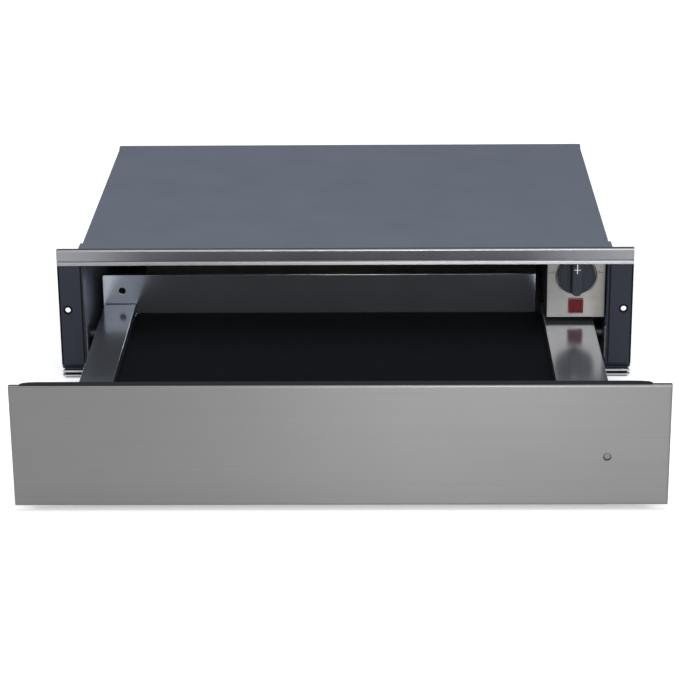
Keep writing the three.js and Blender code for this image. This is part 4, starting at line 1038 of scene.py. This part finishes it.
class DRAWER_OT_front_panel(MakesPieces, bpy.types.Operator):
    """Make the folded front panel with its rounded bends"""

    bl_idname = "warming_drawer.front_panel"
    bl_label = "Front panel"

    def make(self, scene):
        """Loops of a rounded rectangle, drawn in at the face, over the bend and along the folds."""
        sizes = scene.drawer_sizes
        low, high, centre, half = measures("front_panel")
        inset, depth = bend(sizes.panel_bend)
        inset = np.r_[sizes.panel_bend + 1.5 * MM, inset, 0.0, 0.0]
        fold = high[1] - low[1]
        depth = np.r_[0.0, depth, 0.5 * (sizes.panel_bend + fold), fold]
        loops = rounded_rectangles(half[[0, 2]], sizes.panel_corner, inset)
        rings = placed(loops, depth) + (centre[0], low[1], centre[2])
        faces = tube_faces(*rings.shape[:2]).tolist() + [list(range(rings.shape[1]))[::-1]]
        piece = built("front_panel_formed", rings, faces, "front_steel", sharp=50)
        sheet = piece.modifiers.new("sheet", "SOLIDIFY")
        sheet.thickness = sizes.panel_sheet
        sheet.offset = -1.0
        piece.modifiers.move(1, 0)
        self.face_outwards(piece.data)
        stands_for(piece, "front_panel")

    def face_outwards(self, mesh):
        """An open shell can come out inside out, so its big face is turned to the front."""
        big = max(mesh.polygons, key=lambda face: face.area)
        if big.normal.y > 0:
            mesh.flip_normals()


class DRAWER_OT_panel_backing(MakesPieces, bpy.types.Operator):
    """Make the dark moulded liner behind the front panel, and its insulation board"""

    bl_idname = "warming_drawer.panel_backing"
    bl_label = "Panel liner"

    def make(self, scene):
        """Loops of a rounded rectangle: out along the inside of the wall, over its front edge, back
        along the outside and round the bend to the flat back."""
        sizes = scene.drawer_sizes
        _, high, centre, half = measures("front_liner")
        wall, front = sizes.liner_wall, box("front_panel")[1][1] + 0.1 * MM
        edge, back_bend, back_border = 0.2 * MM, 0.9 * MM, 4.0 * MM
        inset, depth = bend(back_bend)
        inset = np.r_[wall, wall, 0.8 * wall, 0.2 * wall, 0.0, inset[::-1], back_border]
        rim = [front + edge, front, front, front + edge]
        y = np.r_[high[1] - wall, rim, high[1] - depth[::-1], high[1]]
        piece = lofted(
            "front_liner_formed", half[[0, 2]], sizes.liner_corner, inset, y, centre * (1, 0, 1),
            "dark_plastic", steps=10,
        )
        stands_for(piece, "front_liner")
        self.lip(sizes)
        softened("panel_insulation", "felt", 0.8 * MM)

    def lip(self, sizes):
        """A hooked outline over the panel's top fold and the liner, carried along X. Near each end
        the part behind the fold is drawn in by (1 - (1 - s)^3)^(1/2), where s is the distance from
        the end over the taper's length."""
        (_, face, _), (half, fold, top) = box("front_panel")
        front, inner = face + 1.1 * MM, fold + HAIR
        back, under = front + sizes.lip_depth, box("front_liner")[1][2] - 0.1 * MM
        crest, seat = top + sizes.lip_height, top - HAIR
        outline = rounded_outline(
            [
                (front, seat), (front, crest), (back, crest), (back, under), (inner, under),
                (inner, seat),
            ],
            np.array([0.02, 0.15, 1.2, 0.3, 0.02, 0.02]) * MM,
        )
        s = np.array([0.02, 0.05, 0.1, 0.18, 0.3, 0.45, 0.7, 1.0])
        left, right = sizes.lip_left - half, half - sizes.lip_right
        x = np.r_[left + s * sizes.lip_taper, right - s[::-1] * sizes.lip_taper]
        drawn = np.sqrt(1 - (1 - np.r_[s, s[::-1]]) ** 3)[:, None]
        y = np.where(outline[:, 0] > inner, inner + (outline[:, 0] - inner) * drawn, outline[:, 0])
        rings = in_space(y, np.broadcast_to(outline[:, 1], y.shape), x[:, None], "x")
        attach(capped_tube("liner_lip", rings, "dark_plastic", sharp=50), "drawer")


class DRAWER_OT_pilot_lens(MakesPieces, bpy.types.Operator):
    """Make the small pilot lens in the front panel, set high in its dark sleeve"""

    bl_idname = "warming_drawer.pilot_lens"
    bl_label = "Pilot lens"

    def make(self, scene):
        """Turned sleeve with a rounded rim; the lens's face is a dome, front + rise times share
        of its radius to the power 2.4."""
        low, high, centre, half = measures("pilot_lens")
        radius, axis = half[0], centre * (1, 0, 1)
        sleeve = turned(
            "pilot_lens_sleeve", np.array([0.05, 0.95, 1.0, 1.0, 0.05]) * radius,
            np.r_[low[1] + np.array([0.14, 0.14, 0.2]) * MM, high[1], high[1]], axis,
            "dark_plastic", around=40,
        )
        stands_for(sleeve, "pilot_lens")
        share = np.linspace(0.03, 1.0, 12)
        dome = low[1] + 0.01 * MM + scene.drawer_sizes.lens_dome * share**2.4
        cap = turned(
            "pilot_lens_cap", np.r_[share, 0.05] * 0.76 * radius, np.r_[dome, dome[-1] + 0.2 * MM],
            axis + (0, 0, 0.2 * radius), "frosted_lens", around=40,
        )
        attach(cap, "drawer")


class DRAWER_OT_ledges(MakesPieces, bpy.types.Operator):
    """Make the two side rails with their flat ledges, and the brackets at their front ends"""

    bl_idname = "warming_drawer.ledges"
    bl_label = "Side rails"

    def make(self, scene):
        for side in SIDES:
            softened("side_rail_" + side, "ledge_steel", scene.drawer_sizes.ledge_edge, segments=3)
            softened("front_bracket_" + side, "zinc_steel")


class DRAWER_OT_back_plate(MakesPieces, bpy.types.Operator):
    """Make the polished back plate with its folded top edge, and the pan"""

    bl_idname = "warming_drawer.back_plate"
    bl_label = "Back plate and pan"

    def make(self, scene):
        softened("back_plate", "back_steel")
        softened("tray_pan", "back_steel")
        low, high = box("side_rail_left")
        face, width = box("back_plate")[0][1], scene.drawer_sizes.tab_seam
        z = high[2] + 0.5 * width
        path = [(low[0] + 0.6 * MM, z), (high[0] - 0.3 * MM, z)]  # between the rail's two bends
        # A dark strip along the joint: painted shade of the gap between the tab and the ledge.
        shadow_line = strip("tab_seam", path, width, (face - HAIR, face + 0.2 * MM), "post_edge")
        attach(shadow_line, "drawer")


class DRAWER_OT_mat(MakesPieces, bpy.types.Operator):
    """Make the black anti-slip mat with rounded corners and edges"""

    bl_idname = "warming_drawer.mat"
    bl_label = "Anti-slip mat"

    def make(self, scene):
        """Loops of a rounded rectangle over the rounded upper edge, down the wall and under it."""
        sizes = scene.drawer_sizes
        low, high, centre, half = measures("anti_slip_mat")
        inset, depth = bend(sizes.mat_edge)
        border, foot = 4.0 * MM, 0.3 * MM
        piece = lofted(
            "anti_slip_mat_formed", half[:2], sizes.mat_corner,
            np.r_[border, inset, 0.0, foot, border],
            np.r_[high[2], high[2] - depth, low[2] + foot, low[2], low[2]], centre * (1, 1, 0),
            "mat_rubber", axis="z",
        )
        stands_for(piece, "anti_slip_mat")


class DRAWER_OT_buffers(MakesPieces, bpy.types.Operator):
    """Make the four round rubber buffers behind the front panel"""

    bl_idname = "warming_drawer.buffers"
    bl_label = "Buffers"

    def make(self, scene):
        inset, depth = bend(0.6 * MM)
        for side in SIDES:
            for level in ("lower", "upper"):
                name = f"buffer_{side}_{level}"
                low, high, centre, (radius, _, _) = measures(name)
                radii = np.r_[radius, (radius - inset)[::-1], 0.3 * radius]
                depths = np.r_[low[1], high[1] - depth[::-1], high[1]]
                piece = turned(
                    name + "_formed", radii, depths, centre * (1, 0, 1), "buffer_rubber", around=32,
                )
                stands_for(piece, name)


class DRAWER_OT_latch(MakesPieces, bpy.types.Operator):
    """Make the push latch, its plunger and the striker under the drawer"""

    bl_idname = "warming_drawer.latch"
    bl_label = "Push latch"

    def make(self, scene):
        softened("latch_body", "dark_plastic", 0.5 * MM)
        softened("latch_plunger", "pale_plastic", 0.25 * MM)
        softened("latch_striker", "zinc_steel")


# ---- controls


def arc(centre, radius, start, end, steps=24):
    """Points in X and Z on a circle, from one angle to another, in degrees from the right."""
    a = np.radians(np.linspace(start, end, steps))
    return np.stack([centre[0] + radius * np.cos(a), centre[1] + radius * np.sin(a)], -1)


class DRAWER_OT_control_plate(MakesPieces, bpy.types.Operator):
    """Make the brushed control plate with its printed arcs and ticks, and the box behind it"""

    bl_idname = "warming_drawer.control_plate"
    bl_label = "Control plate"

    def make(self, scene):
        softened("control_plate", "plate_steel")
        softened("control_box", "dark_paint", 0.25 * MM)
        sizes = scene.control_sizes
        centre = measures("thermostat_knob")[2]
        hub, face = centre[[0, 2]], box("control_plate")[0][1]
        radii = sizes.dial_bead + np.array([-0.5, -0.25, 0.0, 0.25, 0.5, 0.0]) * MM
        depths = face + np.array([0.02, -0.3, -0.42, -0.3, 0.02, 0.1]) * MM
        bead = ring("dial_bead", radii, depths, centre * (1, 0, 1), "plate_steel", around=72)
        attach(bead, "housing")
        radius, width = sizes.dial_radius, sizes.print_width
        lines = {
            "dial_arc_left": arc(hub, radius, 168, 232),
            "dial_arc_right": arc(hub, radius, -52, 12),
            "dial_tick_left": [hub + (-28.6 * MM, 2.2 * MM), hub + (-25.0 * MM, 2.2 * MM)],
            "dial_tick_left_end": arc(hub, 24.2 * MM, 168, 177, 8),
            "dial_tick_right": [hub + (24.6 * MM, 2.6 * MM), hub + (28.2 * MM, 2.6 * MM)],
            "dial_tick_right_end": arc(hub, 24.0 * MM, 3, 12, 8),
        }
        for name, path in lines.items():
            printed = strip(name, path, width, (face - HAIR, face + 0.1 * MM), "print_ink")
            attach(printed, "housing")


class DRAWER_OT_knob(MakesPieces, bpy.types.Operator):
    """Make the control knob: a round skirt, a raised grip and a white cross of two strips on it"""

    bl_idname = "warming_drawer.knob"
    bl_label = "Knob"

    def make(self, scene):
        sizes = scene.control_sizes
        low, high, centre, half = measures("thermostat_knob")
        axis, skirt_face = centre * (1, 0, 1), high[1] - 4.0 * MM
        self.skirt(axis, half[0], skirt_face, high[1], sizes)
        self.grip(axis, half[2], skirt_face, low[1], sizes)
        self.white_cross(centre[[0, 2]], low[1])
        softened("knob_spindle", "zinc_steel")

    def skirt(self, axis, radius, face, back, sizes):
        """Turned profile: a dished face, a fine groove, a rounded rim and a flat back."""
        inset, depth = bend(sizes.knob_edge)
        dish = np.array([0.02, 0.6, 0.86, 0.875, 0.89]) * radius
        sunk = np.array([0.5, 0.35, 0.05, 0.3, 0.0]) * MM
        edge = 0.4 * MM
        radii = np.r_[dish, radius - inset, radius, radius - edge, 0.2 * radius]
        depths = np.r_[face + sunk, face + depth, back - edge, back, back]
        piece = turned("knob_skirt", radii, depths, axis, "knob_plastic", around=72)
        stands_for(piece, "thermostat_knob")

    def grip(self, axis, half_length, face, front, sizes):
        """Loops of a stadium that lean in towards the front and turn over a rounded edge."""
        half_width, corner = 6.2 * MM, 6.15 * MM
        inset, depth = bend(sizes.grip_edge)
        piece = lofted(
            "knob_grip", (half_width, half_length), corner,
            np.r_[4.0 * MM, sizes.grip_draft + inset, 0.0],
            np.r_[front, front + depth, face + 0.4 * MM], axis, "knob_plastic", steps=12,
        )
        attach(piece, "knob")

    def white_cross(self, hub, front):
        """Two strips: a stem from the grip's end inwards and a short bar across it."""
        top, depths = hub + (0.0, 15.6 * MM), (front - 0.04 * MM, front + 0.3 * MM)
        stem = [top, top + (0.0, -10.4 * MM)]
        cross = [top + (-3.2 * MM, -6.4 * MM), top + (3.2 * MM, -6.4 * MM)]
        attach(strip("pointer_stem", stem, 0.9 * MM, depths, "pointer_ink"), "knob")
        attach(strip("pointer_bar", cross, 0.7 * MM, depths, "pointer_ink"), "knob")


class DRAWER_OT_pilot_lamp(MakesPieces, bpy.types.Operator):
    """Make the square red pilot lamp: a pale border, a lens of small prisms and the body"""

    bl_idname = "warming_drawer.pilot_lamp"
    bl_label = "Pilot lamp"

    def make(self, scene):
        sizes = scene.control_sizes
        low, high, centre, half = measures("pilot_lamp_face")
        axis, half = centre * (1, 0, 1), half[[0, 2]]
        self.border(axis, half, low[1], high[1], sizes.lamp_border)
        self.lens(axis, half - 0.8 * sizes.lamp_border, low[1], high[1], sizes.lamp_cells)
        softened("pilot_lamp_body", "pale_plastic")

    def border(self, axis, half, front, back, width):
        """Loops of a rounded square: up the outside, over the rim and down the inside."""
        inset, rim = np.array([0, 0, 0.3, 0.7, 1.0, 1.0]) * width, front + 0.3 * width
        y = [back, rim, front, front, rim, front + 1.2 * MM]
        piece = lofted("pilot_lamp_border", half, 1.3 * MM, inset, y, axis, "lamp_edge", sharp=60)
        stands_for(piece, "pilot_lamp_face")

    def lens(self, axis, half, front, back, cells):
        """Height over a grid: a small pyramid in each cell, 1 - max(|u|, |v|) from its middle."""
        steps, sunk, tall = 4 * cells + 1, 0.75 * MM, 0.5 * MM
        u, v = np.meshgrid(np.linspace(-1, 1, steps), np.linspace(-1, 1, steps), indexing="ij")
        within_u = np.abs((u + 1) * cells / 2 % 1 - 0.5) * 2
        within_v = np.abs((v + 1) * cells / 2 % 1 - 0.5) * 2
        rise = tall * (1 - np.maximum(within_u, within_v))
        top = in_space(u * half[0], v * half[1], front + sunk - rise, "y") + axis
        base = top.copy()
        base[..., 1] = back
        count = steps * steps
        sheet = grid_faces(steps, steps)
        index = np.arange(count).reshape(steps, steps)
        rim = np.concatenate([index[:-1, 0], index[-1, :-1], index[:0:-1, -1], index[0, :0:-1]])
        wall = np.stack([rim, np.roll(rim, -1), np.roll(rim, -1) + count, rim + count], -1)
        faces = np.concatenate([sheet, sheet[:, ::-1] + count, wall]).tolist()
        points = np.concatenate([top.reshape(-1, 3), base.reshape(-1, 3)])
        piece = built("pilot_lamp_lens", points, faces, "red_lens", sharp=12, weighted=False)
        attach(piece, "housing")


class DRAWER_OT_thermostat(MakesPieces, bpy.types.Operator):
    """Make the thermostat with its copper bulb and tube"""

    bl_idname = "warming_drawer.thermostat"
    bl_label = "Thermostat"

    def make(self, scene):
        softened("thermostat_body", "pale_plastic")
        softened("thermostat_bulb", "copper", 0, sharp=40)


class DRAWER_OT_heater(MakesPieces, bpy.types.Operator):
    """Make the fan heater: baffle, element, bracket, cut-out, scroll, wheel, shaft and motor"""

    bl_idname = "warming_drawer.heater"
    bl_label = "Fan heater"

    def make(self, scene):
        softened("air_baffle", "zinc_steel", 0.25 * MM)
        softened("heating_element", "zinc_steel", 0, sharp=40)
        softened("element_bracket", "zinc_steel", 0.2 * MM)
        softened("thermal_cut_out", "pale_plastic", 0.2 * MM)
        softened("fan_scroll", "zinc_steel", 0.25 * MM)
        softened("fan_wheel", "aluminium", 0, sharp=30)
        softened("fan_shaft", "zinc_steel", 0.2 * MM)
        softened("fan_motor", "motor_steel")


class DRAWER_OT_mains(MakesPieces, bpy.types.Operator):
    """Make the terminal block and the cable gland in the rear wall"""

    bl_idname = "warming_drawer.mains"
    bl_label = "Mains entry"

    def make(self, scene):
        softened("terminal_block", "pale_plastic", 0.25 * MM)
        softened("cable_gland", "buffer_rubber", 0.4 * MM)


# ---- add-on

OPERATORS = (
    DRAWER_OT_stage, DRAWER_OT_case, DRAWER_OT_posts, DRAWER_OT_trim, DRAWER_OT_bottom_rail,
    DRAWER_OT_case_screws, DRAWER_OT_runners, DRAWER_OT_front_panel, DRAWER_OT_panel_backing,
    DRAWER_OT_pilot_lens, DRAWER_OT_ledges, DRAWER_OT_back_plate, DRAWER_OT_mat,
    DRAWER_OT_buffers, DRAWER_OT_latch, DRAWER_OT_control_plate, DRAWER_OT_knob,
    DRAWER_OT_pilot_lamp, DRAWER_OT_thermostat, DRAWER_OT_heater, DRAWER_OT_mains,
)


class DRAWER_PT_pieces(bpy.types.Panel):
    """The buttons that make the warming drawer's pieces, and its sizes and colours"""

    bl_label = "Warming drawer"
    bl_idname = "DRAWER_PT_pieces"
    bl_space_type = "VIEW_3D"
    bl_region_type = "UI"
    bl_category = "Drawer"

    def draw(self, context):
        for operator in OPERATORS:
            self.layout.operator(operator.bl_idname)
        for name, kind in SETTINGS.items():
            column = self.layout.column()
            for setting in kind.__annotations__:
                column.prop(getattr(context.scene, name), setting)


CLASSES = (*SETTINGS.values(), *OPERATORS, DRAWER_PT_pieces)


def register():
    for kind in CLASSES:
        bpy.utils.register_class(kind)
    for name, kind in SETTINGS.items():
        setattr(bpy.types.Scene, name, PointerProperty(type=kind))


def unregister():
    for name in SETTINGS:
        delattr(bpy.types.Scene, name)
    for kind in reversed(CLASSES):
        bpy.utils.unregister_class(kind)


def main():
    register()
    make_shader_groups()
    make_finishes()
    for operator in OPERATORS:
        family, name = operator.bl_idname.split(".")
        getattr(getattr(bpy.ops, family), name)()


if __name__ == "__main__":
    main()
